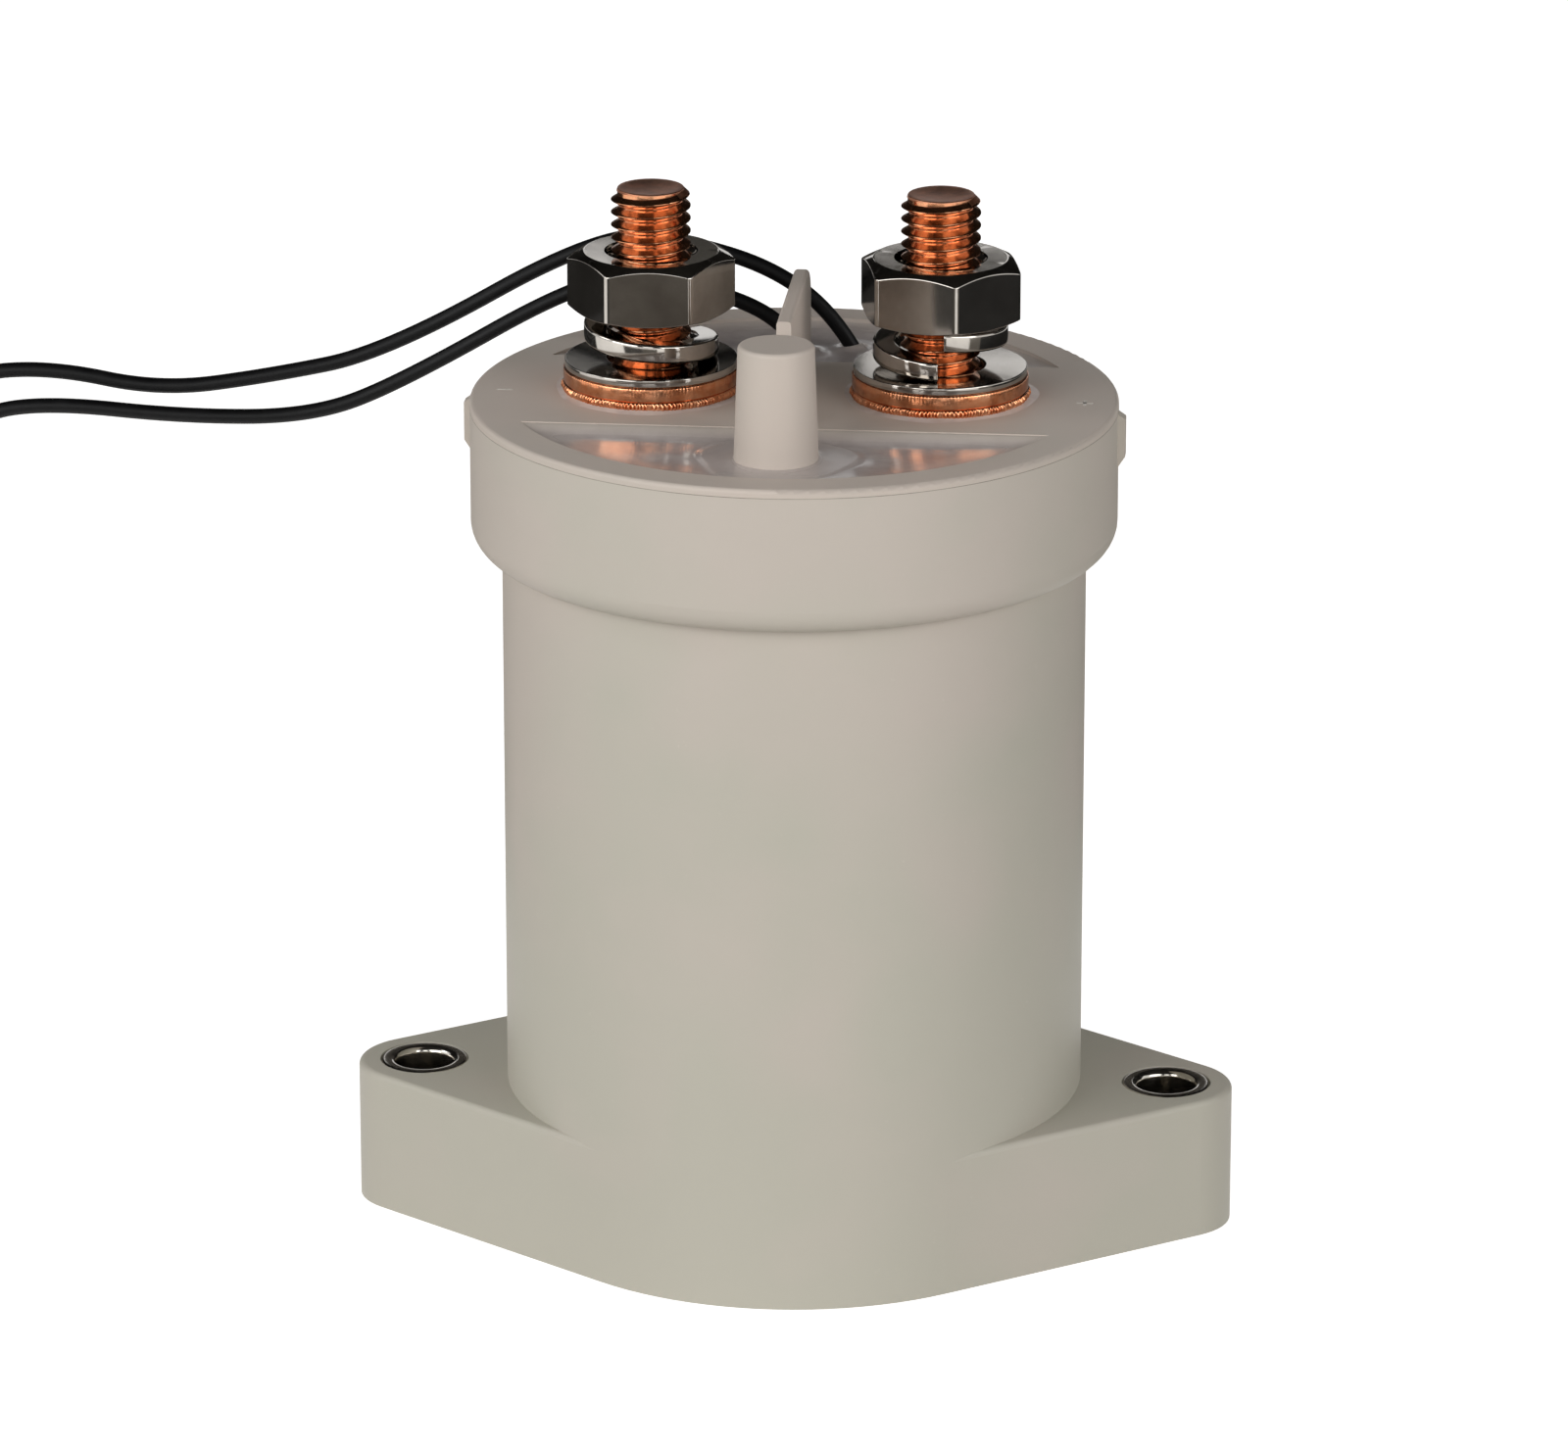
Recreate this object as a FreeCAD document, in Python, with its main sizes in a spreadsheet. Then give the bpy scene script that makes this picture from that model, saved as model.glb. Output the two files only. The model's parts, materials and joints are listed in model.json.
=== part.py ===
import FreeCAD, Part
import math
import os
import Sketcher
from FreeCAD import Placement, Rotation, Vector

# Driving sizes in millimetres. Heights are measured from the foot of the housing.
SIZES = {
    # Housing
    "case_height": 100.0,
    "body_radius": 33.9,
    "body_wall": 2.6,
    "floor_thickness": 3.0,
    "collar_step": 3.6,
    "collar_height": 17.4,
    "collar_wall": 3.1,
    "collar_edge_round": 3.0,
    "ear_height": 16.8,
    "ear_radius": 7.75,
    "ear_spacing": 88.2,
    "ear_edge_round": 0.7,
    "rib_height": 6.4,
    "rib_width": 1.8,
    "rib_proud": 0.85,
    "rib_top_slope": 0.6,
    "rib_foot_slope": 1.3,
    # Mounting bushes
    "bush_radius": 5.15,
    "bush_bore": 3.4,
    "bush_lip": 0.6,
    # Cover
    "cover_rim": 1.0,
    "cover_edge_round": 0.5,
    "skirt_depth": 5.0,
    "skirt_wall": 1.3,
    "band_front": 13.2,
    "band_back": 14.2,
    "band_thickness": 2.4,
    "wall_thickness": 1.7,
    "wall_height": 12.6,
    "wall_back": 12.5,
    "wall_corner_round": 4.0,
    "wall_top_round": 0.425,
    # Potting and tube cap
    "potting_drop": 1.3,
    "cap_margin": 10.5,
    "cap_height": 13.9,
    "cap_depth": 4.0,
    "cap_foot_radius": 4.85,
    "cap_tip_radius": 4.35,
    "cap_gap": 0.8,
    "cap_edge_round": 0.5,
    # Terminals and their fasteners
    "unit_offset": 1.8,
    "terminal_inset": 11.75,
    "terminal_radius": 7.0,
    "shoulder_radius": 10.2,
    "shoulder_rise": 2.8,
    "shoulder_depth": 3.0,
    "stud_radius": 4.6,
    "stud_length": 21.2,
    "stud_chamfer": 0.8,
    "washer_radius": 10.05,
    "washer_gap": 0.6,
    "washer_thickness": 0.95,
    "split_width": 2.6,
    "split_thickness": 2.2,
    "split_height": 5.7,
    "split_gap": 5.0,
    "split_angle_left": 50.0,
    "split_angle_right": -88.0,
    "nut_flats": 17.0,
    "nut_height": 7.05,
    "nut_gap": 0.15,
    "nut_bore_drop": 0.75,
    "nut_face_radius": 7.75,
    "nut_top_drop": 1.05,
    "nut_foot_drop": 0.5,
    "nut_angle_left": 4.0,
    "nut_angle_right": 44.5,
    # Arc chamber
    "header_inset": 0.3,
    "header_thickness": 1.2,
    "chamber_gap": 2.8,
    "chamber_margin": 5.0,
    "chamber_depth": 10.0,
    "chamber_corner": 8.0,
    "chamber_wall": 3.0,
    "chamber_roof": 4.0,
    "chamber_height": 35.8,
    "seal_width": 3.5,
    "seal_thickness": 1.2,
    "insulator_thickness": 1.5,
    "insulator_inset": 0.4,
    "magnet_length": 26.0,
    "magnet_thickness": 3.0,
    "magnet_height": 18.0,
    "magnet_lift": 11.8,
    "keeper_length": 32.0,
    "keeper_thickness": 1.2,
    "fill_tube_radius": 1.6,
    "fill_tube_wall": 0.6,
    "fill_tube_length": 51.0,
    "fill_tube_pinch": 3.0,
    "fill_tube_taper": 1.5,
    "channel_width": 1.5,
    "channel_depth": 1.0,
    # Moving contact
    "contact_gap": 1.6,
    "terminal_reach": 6.0,
    "bridge_overhang": 5.75,
    "bridge_width": 11.0,
    "bridge_corner": 1.833,
    "bridge_thickness": 3.0,
    "bridge_step": 0.75,
    "bridge_face_inset": 1.75,
    "clip_width": 1.8,
    "clip_thickness": 0.8,
    "clip_opening": 2.4,
    "contact_spring_radius": 4.6,
    "contact_spring_wire": 1.0,
    "contact_spring_turns": 4.5,
    "contact_spring_length": 11.4,
    "seat_margin": 1.4,
    "seat_thickness": 1.0,
    # Magnet drive
    "yoke_gap": 0.2,
    "yoke_wall": 2.0,
    "yoke_floor": 3.0,
    "plate_thickness": 3.0,
    "sleeve_radius": 9.0,
    "sleeve_wall": 0.6,
    "sleeve_lip": 3.0,
    "sleeve_drop": 2.6,
    "bobbin_wall": 1.0,
    "bobbin_flange": 1.5,
    "bobbin_gap": 0.3,
    "winding_inset": 2.0,
    "core_length": 24.1,
    "core_flange_step": 1.0,
    "core_flange": 1.4,
    "armature_travel": 2.5,
    "bumper_thickness": 2.45,
    "bumper_gap": 0.9,
    "shaft_radius": 2.0,
    "shaft_groove": 0.5,
    "shaft_collar_step": 1.0,
    "shaft_collar_length": 3.0,
    "shaft_tip": 1.0,
    "return_spring_radius": 4.7,
    "return_spring_wire": 0.9,
    "return_spring_turns": 5.5,
    "spring_pocket_gap": 0.75,
    "core_pocket": 8.0,
    "plunger_pocket": 5.0,
    # Fits
    "fit_gap": 0.1,
    "running_gap": 0.08,
    "press_gap": 0.02,
    "rest_gap": 0.05,
    # Leads
    "lead_radius": 0.9,
    "lead_tip_radius": 0.5,
    "lead_tip_length": 7.0,
}

# Route of each lead, from the potting to its far end, chosen by hand.
LEADS = {
    "lead_upper": [
        (4.9, 24.0, 98.7),
        (2.3, 24.0, 103.2),
        (-4.5, 24.1, 108.3),
        (-13.5, 24.2, 111.1),
        (-24.5, 24.2, 112.6),
        (-50.8, 24.0, 96.9),
        (-65.0, 24.0, 93.6),
        (-78.0, 24.0, 91.5),
        (-91.0, 24.0, 94.0),
        (-101.5, 23.8, 93.0),
        (-110.0, 23.4, 86.0),
        (-113.3, 23.2, 74.5),
        (-114.2, 22.6, 59.0),
        (-114.0, 21.6, 43.5),
        (-114.6, 20.4, 28.0),
        (-115.0, 17.2, 13.5),
        (-115.4, 10.0, 3.4),
        (-115.8, 1.0, 0.95),
        (-116.4, -9.0, 0.95),
        (-119.5, -17.5, 0.95),
        (-127.5, -21.0, 0.95),
        (-135.5, -17.5, 0.95),
        (-138.5, -9.5, 0.95),
        (-139.0, 0.0, 0.95),
        (-138.6, 9.7, 0.95),
        (-137.2, 19.0, 0.95),
    ],
    "lead_lower": [
        (-0.4, 22.0, 98.7),
        (-3.0, 22.0, 102.0),
        (-8.2, 22.0, 105.1),
        (-16.5, 21.9, 107.0),
        (-25.8, 21.8, 107.8),
        (-49.5, 22.0, 93.4),
        (-60.0, 22.0, 89.3),
        (-75.0, 22.0, 88.9),
        (-91.0, 22.0, 90.2),
        (-100.0, 21.8, 88.6),
        (-107.3, 21.4, 82.0),
        (-110.3, 21.0, 71.5),
        (-111.0, 20.4, 57.0),
        (-110.9, 19.4, 42.5),
        (-111.4, 18.0, 28.0),
        (-111.8, 14.6, 13.8),
        (-112.2, 7.4, 3.6),
        (-112.6, -1.5, 0.95),
        (-113.2, -11.5, 0.95),
        (-117.0, -20.5, 0.95),
        (-126.5, -24.6, 0.95),
        (-136.5, -21.0, 0.95),
        (-141.0, -12.0, 0.95),
        (-141.8, -1.5, 0.95),
        (-141.5, 7.6, 0.95),
        (-140.4, 16.5, 0.95),
        (-138.2, 25.0, 0.95),
    ],
}
RUN_SHARE = 0.45

doc = FreeCAD.newDocument("contactor")
sheet = doc.addObject("Spreadsheet::Sheet", "sizes")
for row, (name, size) in enumerate(SIZES.items(), start=1):
    sheet.set(f"A{row}", name)
    sheet.set(f"B{row}", str(size))
    sheet.setAlias(f"B{row}", name)
doc.recompute()


class Size:
    """An expression over the sheet's cells, with its present value."""

    def __init__(self, text, value):
        self.text = text
        self.value = value

    def join(self, sign, other, value, turned=False):
        other = as_size(other)
        pair = (other.text, self.text) if turned else (self.text, other.text)
        return Size(f"({pair[0]} {sign} {pair[1]})", value(other.value))

    def __add__(self, other):
        return self.join("+", other, lambda number: self.value + number)

    def __sub__(self, other):
        return self.join("-", other, lambda number: self.value - number)

    def __rsub__(self, other):
        return self.join("-", other, lambda number: number - self.value, turned=True)

    def __mul__(self, other):
        return self.join("*", other, lambda number: self.value * number)

    def __truediv__(self, other):
        return self.join("/", other, lambda number: self.value / number)

    def __neg__(self):
        return Size(f"(-1 * {self.text})", -self.value)

    __radd__ = __add__
    __rmul__ = __mul__


def as_size(thing):
    return thing if isinstance(thing, Size) else Size(repr(float(thing)), float(thing))


class Sheet:
    """Reads a cell of the sheet by its alias."""

    def __getattr__(self, alias):
        return Size(f"sizes.{alias}", float(sheet.get(alias)))


cell = Sheet()

# Radii and widths that follow from other sizes
cavity_radius = cell.body_radius - cell.body_wall
collar_radius = cell.body_radius + cell.collar_step
collar_cavity = collar_radius - cell.collar_wall
skirt_radius = collar_cavity - cell.fit_gap
window_radius = skirt_radius - cell.skirt_wall
washer_bore = cell.stud_radius + cell.washer_gap
split_radius = washer_bore + cell.split_width
nut_bore = cell.stud_radius + cell.nut_gap
cap_bore = cell.fill_tube_radius + cell.cap_gap
seal_radius = cell.terminal_radius + cell.seal_width
chamber_half_length = cavity_radius - cell.chamber_gap
chamber_half_width = seal_radius + cell.chamber_margin
yoke_radius = cavity_radius - cell.unit_offset - cell.yoke_gap
header_radius = yoke_radius - cell.header_inset
bobbin_radius = yoke_radius - cell.yoke_wall - cell.bobbin_gap
winding_radius = bobbin_radius - cell.winding_inset
sleeve_bore = cell.sleeve_radius - cell.sleeve_wall
sleeve_lip_radius = cell.sleeve_radius + cell.sleeve_lip
core_flange_radius = cell.sleeve_radius + cell.core_flange_step
spring_pocket_radius = (
    cell.return_spring_radius + cell.return_spring_wire / 2 + cell.spring_pocket_gap
)
clip_radius = cell.shaft_radius + cell.clip_width

# Places across the case
ear_centre = cell.ear_spacing / 2
terminal_place = chamber_half_length - cell.terminal_inset
cap_offset = window_radius - cell.cap_margin
tube_place = cap_offset + cell.unit_offset

# Heights at the top of the case
collar_foot = cell.case_height - cell.collar_height
collar_ledge = collar_foot + cell.collar_edge_round - cell.body_wall / 2
rim_height = cell.case_height - cell.cover_rim
skirt_foot = rim_height - cell.skirt_depth
band_foot = cell.case_height - cell.band_thickness
potting_top = cell.case_height - cell.potting_drop
cap_foot = potting_top - cell.cap_depth
shoulder_foot = cell.case_height - cell.shoulder_depth
shoulder_top = cell.case_height + cell.shoulder_rise
washer_top = shoulder_top + cell.washer_thickness
split_top = washer_top + cell.split_height

# Heights of the contact unit, down from the cover
chamber_top = cell.case_height - cell.chamber_depth
header_top = chamber_top - cell.chamber_height
plate_top = header_top - cell.header_thickness
yoke_top = plate_top - cell.plate_thickness
magnet_foot = header_top + cell.magnet_lift
contact_height = chamber_top - cell.chamber_roof - cell.terminal_reach
bridge_top = contact_height - cell.contact_gap
bridge_foot = bridge_top - cell.bridge_thickness
seat_top = bridge_foot - cell.contact_spring_length
seat_foot = seat_top - cell.seat_thickness
clip_foot = bridge_top + cell.rest_gap
shaft_top = clip_foot + cell.clip_thickness + cell.shaft_tip

# Heights of the magnet drive
yoke_floor_top = cell.floor_thickness + cell.yoke_floor
sleeve_foot = yoke_floor_top - cell.sleeve_drop
sleeve_floor = sleeve_foot + cell.sleeve_wall
sleeve_top = plate_top + cell.sleeve_wall
core_foot = sleeve_top - cell.core_length
bumper_top = sleeve_floor + cell.bumper_thickness
plunger_foot = bumper_top + cell.rest_gap
plunger_top = core_foot - cell.armature_travel
spring_foot = plunger_top - cell.plunger_pocket

node_names = []


def keep(thing, label):
    """Lists a finished piece under the name of its file."""
    thing.Label = label
    node_names.append(thing.Name)
    return thing


def bind(thing, **sizes):
    for key, size in sizes.items():
        thing.setExpression(key.replace("__", "."), as_size(size).text)
    return thing


def place(thing, x=None, y=None, z=None, turn=None):
    """Moves a piece to a place given by sizes, and turns it about +Z."""
    for axis, size in (("x", x), ("y", y), ("z", z)):
        if size is not None:
            thing.setExpression(f"Placement.Base.{axis}", as_size(size).text)
    if turn is not None:
        thing.Placement = Placement(thing.Placement.Base, Rotation(Vector(0, 0, 1), turn.value))
        thing.setExpression("Placement.Rotation.Angle", turn.text)
    return thing


def new_body(name):
    return doc.addObject("PartDesign::Body", name)


def new_sketch(body, plane, height=None):
    """An empty sketch on one of the body's own planes, lifted along its normal."""
    sketch = body.newObject("Sketcher::SketchObject", f"{body.Name}_sketch")
    support = next(item for item in body.Origin.OriginFeatures if item.Role == plane)
    sketch.AttachmentSupport = [(support, "")]
    sketch.MapMode = "FlatFace"
    if height is not None:
        sketch.setExpression("AttachmentOffset.Base.z", as_size(height).text)
    return sketch


def tie_point(sketch, item, end, x, y):
    """Ties one point of a sketch to the origin by two sizes."""
    for kind, axis, size in (("DistanceX", -2, as_size(x)), ("DistanceY", -1, as_size(y))):
        if abs(size.value) < 1e-9:
            sketch.addConstraint(Sketcher.Constraint("PointOnObject", item, end, axis))
            continue
        if size.value > 0:
            rule = Sketcher.Constraint(kind, -1, 1, item, end, size.value)
            text = size.text
        else:
            rule = Sketcher.Constraint(kind, item, end, -1, 1, -size.value)
            text = (-size).text
        number = sketch.addConstraint(rule)
        sketch.setExpression(f"Constraints[{number}]", text)


def draw_outline(sketch, corners):
    """A closed outline of straight lines, each corner tied to the sheet."""
    points = [Vector(as_size(x).value, as_size(y).value, 0) for x, y in corners]
    for start, end in zip(points, points[1:] + points[:1]):
        sketch.addGeometry(Part.LineSegment(start, end))
    count = len(points)
    for item in range(count):
        sketch.addConstraint(Sketcher.Constraint("Coincident", item, 2, (item + 1) % count, 1))
    for item, (x, y) in enumerate(corners):
        tie_point(sketch, item, 1, x, y)


def draw_circle(sketch, radius, x=0, y=0):
    centre = Vector(as_size(x).value, as_size(y).value, 0)
    item = sketch.addGeometry(Part.Circle(centre, Vector(0, 0, 1), as_size(radius).value))
    number = sketch.addConstraint(Sketcher.Constraint("Radius", item, as_size(radius).value))
    sketch.setExpression(f"Constraints[{number}]", as_size(radius).text)
    tie_point(sketch, item, 3, x, y)


def turned(name, *outlines):
    """A body turned about +Z from closed outlines of (radius, height) corners."""
    body = new_body(name)
    for corners in outlines:
        sketch = new_sketch(body, "XZ_Plane")
        draw_outline(sketch, corners)
        feature = body.newObject("PartDesign::Revolution", f"{name}_turned")
        feature.Profile = sketch
        feature.ReferenceAxis = (sketch, ["V_Axis"])
        feature.Angle = 360
    return body


def groove(body, corners):
    sketch = new_sketch(body, "XZ_Plane")
    draw_outline(sketch, corners)
    feature = body.newObject("PartDesign::Groove", f"{body.Name}_groove")
    feature.Profile = sketch
    feature.ReferenceAxis = (sketch, ["V_Axis"])
    feature.Angle = 360
    return feature


def tube_outline(inner, outer, foot, top):
    return [(inner, foot), (outer, foot), (outer, top), (inner, top)]


def pad(body, draw, length, foot=None):
    """Adds material upwards from a height. The drawing fills the sketch."""
    sketch = new_sketch(body, "XY_Plane", foot)
    draw(sketch)
    feature = body.newObject("PartDesign::Pad", f"{body.Name}_pad")
    feature.Profile = sketch
    return bind(feature, Length=length)


def pocket(body, draw, length, foot):
    """Removes material upwards from a height."""
    sketch = new_sketch(body, "XY_Plane", foot)
    draw(sketch)
    doc.recompute()
    before = body.Shape.Volume
    feature = body.newObject("PartDesign::Pocket", f"{body.Name}_pocket")
    feature.Profile = sketch
    feature.Reversed = True
    bind(feature, Length=length)
    doc.recompute()
    if body.Shape.Volume > before - 1e-6:
        raise RuntimeError(f"a pocket of {body.Name} cuts nothing")
    return feature


def edges_where(shape, test):
    return [f"Edge{number}" for number, edge in enumerate(shape.Edges, start=1) if test(edge)]


def is_ring(edge, radius, height):
    """True for a circular edge about +Z of this radius at this height."""
    curve = edge.Curve
    return (
        isinstance(curve, Part.Circle)
        and abs(curve.Radius - radius.value) < 1e-4
        and abs(curve.Center.z - height.value) < 1e-4
    )


def is_level(edge, height):
    """True for an edge that lies flat at this height."""
    box = edge.BoundBox
    return abs(box.ZMin - height.value) < 1e-3 and abs(box.ZMax - height.value) < 1e-3


def round_edges(body, test, radius, kind="Fillet"):
    """Rounds or chamfers the edges of the finished body that pass a test."""
    doc.recompute()
    base = body.Tip
    feature = body.newObject(f"PartDesign::{kind}", f"{body.Name}_{kind.lower()}")
    feature.Base = (base, edges_where(base.Shape, test))
    return bind(feature, **{"Radius" if kind == "Fillet" else "Size": radius})


def helix_body(name, corners, height, turns, left_handed=False):
    """A body swept along a helix about +Z, from a section drawn at radius and height."""
    body = new_body(name)
    sketch = new_sketch(body, "XZ_Plane")
    corners(sketch)
    feature = body.newObject("PartDesign::AdditiveHelix", f"{name}_helix")
    feature.Profile = sketch
    feature.ReferenceAxis = (sketch, ["V_Axis"])
    feature.Mode = "height-turns-angle"
    feature.LeftHanded = left_handed
    bind(feature, Height=height, Turns=turns)
    return body


def make_housing():
    """Moulded cup with a wider collar and two mounting ears at its foot."""
    body = new_body("housing")
    lean = math.asin((cell.body_radius.value - cell.ear_radius.value) / ear_centre.value)
    pad(body, lambda sketch: draw_ear_plate(sketch, lean), cell.ear_height)
    round_edges(body, lambda edge: is_level(edge, cell.ear_height), cell.ear_edge_round)
    outside = new_sketch(body, "XZ_Plane")
    draw_outline(
        outside,
        [
            (0, 0),
            (cell.body_radius, 0),
            (cell.body_radius, collar_foot),
            (collar_radius, collar_foot),
            (collar_radius, rim_height),
            (0, rim_height),
        ],
    )
    shell = body.newObject("PartDesign::Revolution", "housing_outside")
    shell.Profile = outside
    shell.ReferenceAxis = (outside, ["V_Axis"])
    shell.Angle = 360
    groove(
        body,
        [
            (0, cell.floor_thickness),
            (cavity_radius, cell.floor_thickness),
            (cavity_radius, collar_ledge),
            (collar_cavity, collar_ledge),
            (collar_cavity, rim_height),
            (0, rim_height),
        ],
    )
    pocket(body, draw_bush_holes, cell.ear_height, 0)
    for side in (-1, 1):
        add_collar_rib(body, side)
    round_edges(
        body, lambda edge: is_ring(edge, collar_radius, collar_foot), cell.collar_edge_round
    )
    return keep(body, "housing")


def add_collar_rib(body, side):
    """Short upright rib on the collar, sloped at both ends."""
    inner = (collar_radius - cell.rib_proud) * side
    root = collar_radius * side
    outer = (collar_radius + cell.rib_proud) * side
    top, foot = rim_height, rim_height - cell.rib_height
    sketch = new_sketch(body, "XZ_Plane")
    draw_outline(
        sketch,
        [
            (inner, foot),
            (root, foot),
            (outer, foot + cell.rib_foot_slope),
            (outer, top - cell.rib_top_slope),
            (root, top),
            (inner, top),
        ],
    )
    feature = body.newObject("PartDesign::Pad", "collar_rib")
    feature.Profile = sketch
    feature.SideType = "Symmetric"
    bind(feature, Length=cell.rib_width)


def draw_ear_plate(sketch, lean):
    """Outline of the foot: two ear ends joined to the body by straight tangents."""
    radius, place_x = cell.ear_radius.value, ear_centre.value
    body_radius = cell.body_radius.value
    along, across = math.sin(lean), math.cos(lean)
    flank = Vector(place_x + radius * along, radius * across, 0)
    root = Vector(body_radius * along, body_radius * across, 0)

    def corner(point, side_x, side_y):
        return Vector(point.x * side_x, point.y * side_y, 0)

    tip, crown = Vector(place_x + radius, 0, 0), Vector(0, body_radius, 0)
    spans = [
        Part.Arc(corner(flank, 1, -1), tip, corner(flank, 1, 1)),
        Part.LineSegment(corner(flank, 1, 1), corner(root, 1, 1)),
        Part.Arc(corner(root, 1, 1), crown, corner(root, -1, 1)),
        Part.LineSegment(corner(root, -1, 1), corner(flank, -1, 1)),
        Part.Arc(corner(flank, -1, 1), -tip, corner(flank, -1, -1)),
        Part.LineSegment(corner(flank, -1, -1), corner(root, -1, -1)),
        Part.Arc(corner(root, -1, -1), -crown, corner(root, 1, -1)),
        Part.LineSegment(corner(root, 1, -1), corner(flank, 1, -1)),
    ]
    for span in spans:
        sketch.addGeometry(span)
    # Arcs run anticlockwise, so an arc's point 2 meets the next line's point 1.
    for item in range(len(spans)):
        sketch.addConstraint(
            Sketcher.Constraint("Tangent", item, 2, (item + 1) % len(spans), 1)
        )
    for item, size, x in (
        (0, cell.ear_radius, ear_centre),
        (2, cell.body_radius, 0),
        (4, cell.ear_radius, -ear_centre),
        (6, cell.body_radius, 0),
    ):
        number = sketch.addConstraint(Sketcher.Constraint("Radius", item, size.value))
        sketch.setExpression(f"Constraints[{number}]", size.text)
        tie_point(sketch, item, 3, x, 0)


def draw_bush_holes(sketch):
    for side in (-1, 1):
        draw_circle(sketch, cell.bush_radius + cell.fit_gap, ear_centre * side)


def make_bush(label, side):
    """Plated bush that carries the mounting screw through the ear."""
    foot, top = 0, cell.ear_height
    lip = cell.bush_lip
    body = turned(
        label,
        [
            (cell.bush_bore, lip),
            (cell.bush_bore + lip, foot),
            (cell.bush_radius, foot),
            (cell.bush_radius, top),
            (cell.bush_bore + lip, top),
            (cell.bush_bore, top - lip),
        ],
    )
    place(body, x=ear_centre * side)
    return keep(body, label)


def make_cover():
    """Disc with a skirt, two windows, two terminal holes and the barrier wall."""
    body = turned(
        "cover",
        [
            (0, band_foot),
            (window_radius, band_foot),
            (window_radius, skirt_foot),
            (skirt_radius, skirt_foot),
            (skirt_radius, rim_height),
            (collar_radius, rim_height),
            (collar_radius, cell.case_height),
            (0, cell.case_height),
        ],
    )
    round_edges(
        body,
        lambda edge: is_ring(edge, collar_radius, cell.case_height),
        cell.cover_edge_round,
    )
    for edge_place, side in ((cell.band_front, -1), (cell.band_back, 1)):
        pocket(
            body,
            lambda sketch: draw_window(sketch, edge_place, side),
            cell.band_thickness,
            band_foot,
        )

    def draw_terminal_holes(sketch):
        hole = cell.shoulder_radius + cell.fit_gap
        for way in (-1, 1):
            draw_circle(sketch, hole, terminal_place * way, cell.unit_offset)

    pocket(
        body,
        draw_terminal_holes,
        cell.band_thickness,
        band_foot,
    )
    add_barrier_wall(body)
    return keep(body, "cover")


def draw_window(sketch, edge_place, side):
    """Segment between the central band and the rim."""
    radius = window_radius.value
    reach = math.sqrt(radius**2 - edge_place.value**2)
    left = Vector(-reach, edge_place.value * side, 0)
    right = Vector(reach, edge_place.value * side, 0)
    middle = Vector(0, radius * side, 0)
    ends = (left, right) if side < 0 else (right, left)
    arc = sketch.addGeometry(Part.Arc(ends[0], middle, ends[1]))
    line = sketch.addGeometry(Part.LineSegment(ends[1], ends[0]))
    sketch.addConstraint(Sketcher.Constraint("Coincident", arc, 2, line, 1))
    sketch.addConstraint(Sketcher.Constraint("Coincident", line, 2, arc, 1))
    sketch.addConstraint(Sketcher.Constraint("Horizontal", line))
    tie_point(sketch, arc, 3, 0, 0)
    number = sketch.addConstraint(Sketcher.Constraint("Radius", arc, radius))
    sketch.setExpression(f"Constraints[{number}]", window_radius.text)
    low, high = ((line, 1), (-1, 1)) if side < 0 else ((-1, 1), (line, 1))
    number = sketch.addConstraint(
        Sketcher.Constraint("DistanceY", *low, *high, edge_place.value)
    )
    sketch.setExpression(f"Constraints[{number}]", edge_place.text)


def add_barrier_wall(body):
    """Thin wall across the band that keeps the two terminals apart."""
    half = cell.wall_thickness / 2
    front, back = -cell.band_front, cell.wall_back
    pad(
        body,
        lambda sketch: draw_outline(
            sketch, [(half, back), (-half, back), (-half, front), (half, front)]
        ),
        cell.wall_height + cell.band_thickness,
        band_foot,
    )
    wall_top = (cell.case_height + cell.wall_height).value

    def is_back_corner(edge):
        box = edge.BoundBox
        return abs(box.ZMin - wall_top) < 1e-3 and abs(box.YMin - back.value) < 1e-3

    def is_top_side(edge):
        box = edge.BoundBox
        return abs(box.ZMax - wall_top) < 1e-3 and box.YLength > cell.wall_back.value / 2

    round_edges(body, is_back_corner, cell.wall_corner_round)
    round_edges(body, is_top_side, cell.wall_top_round)


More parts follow.
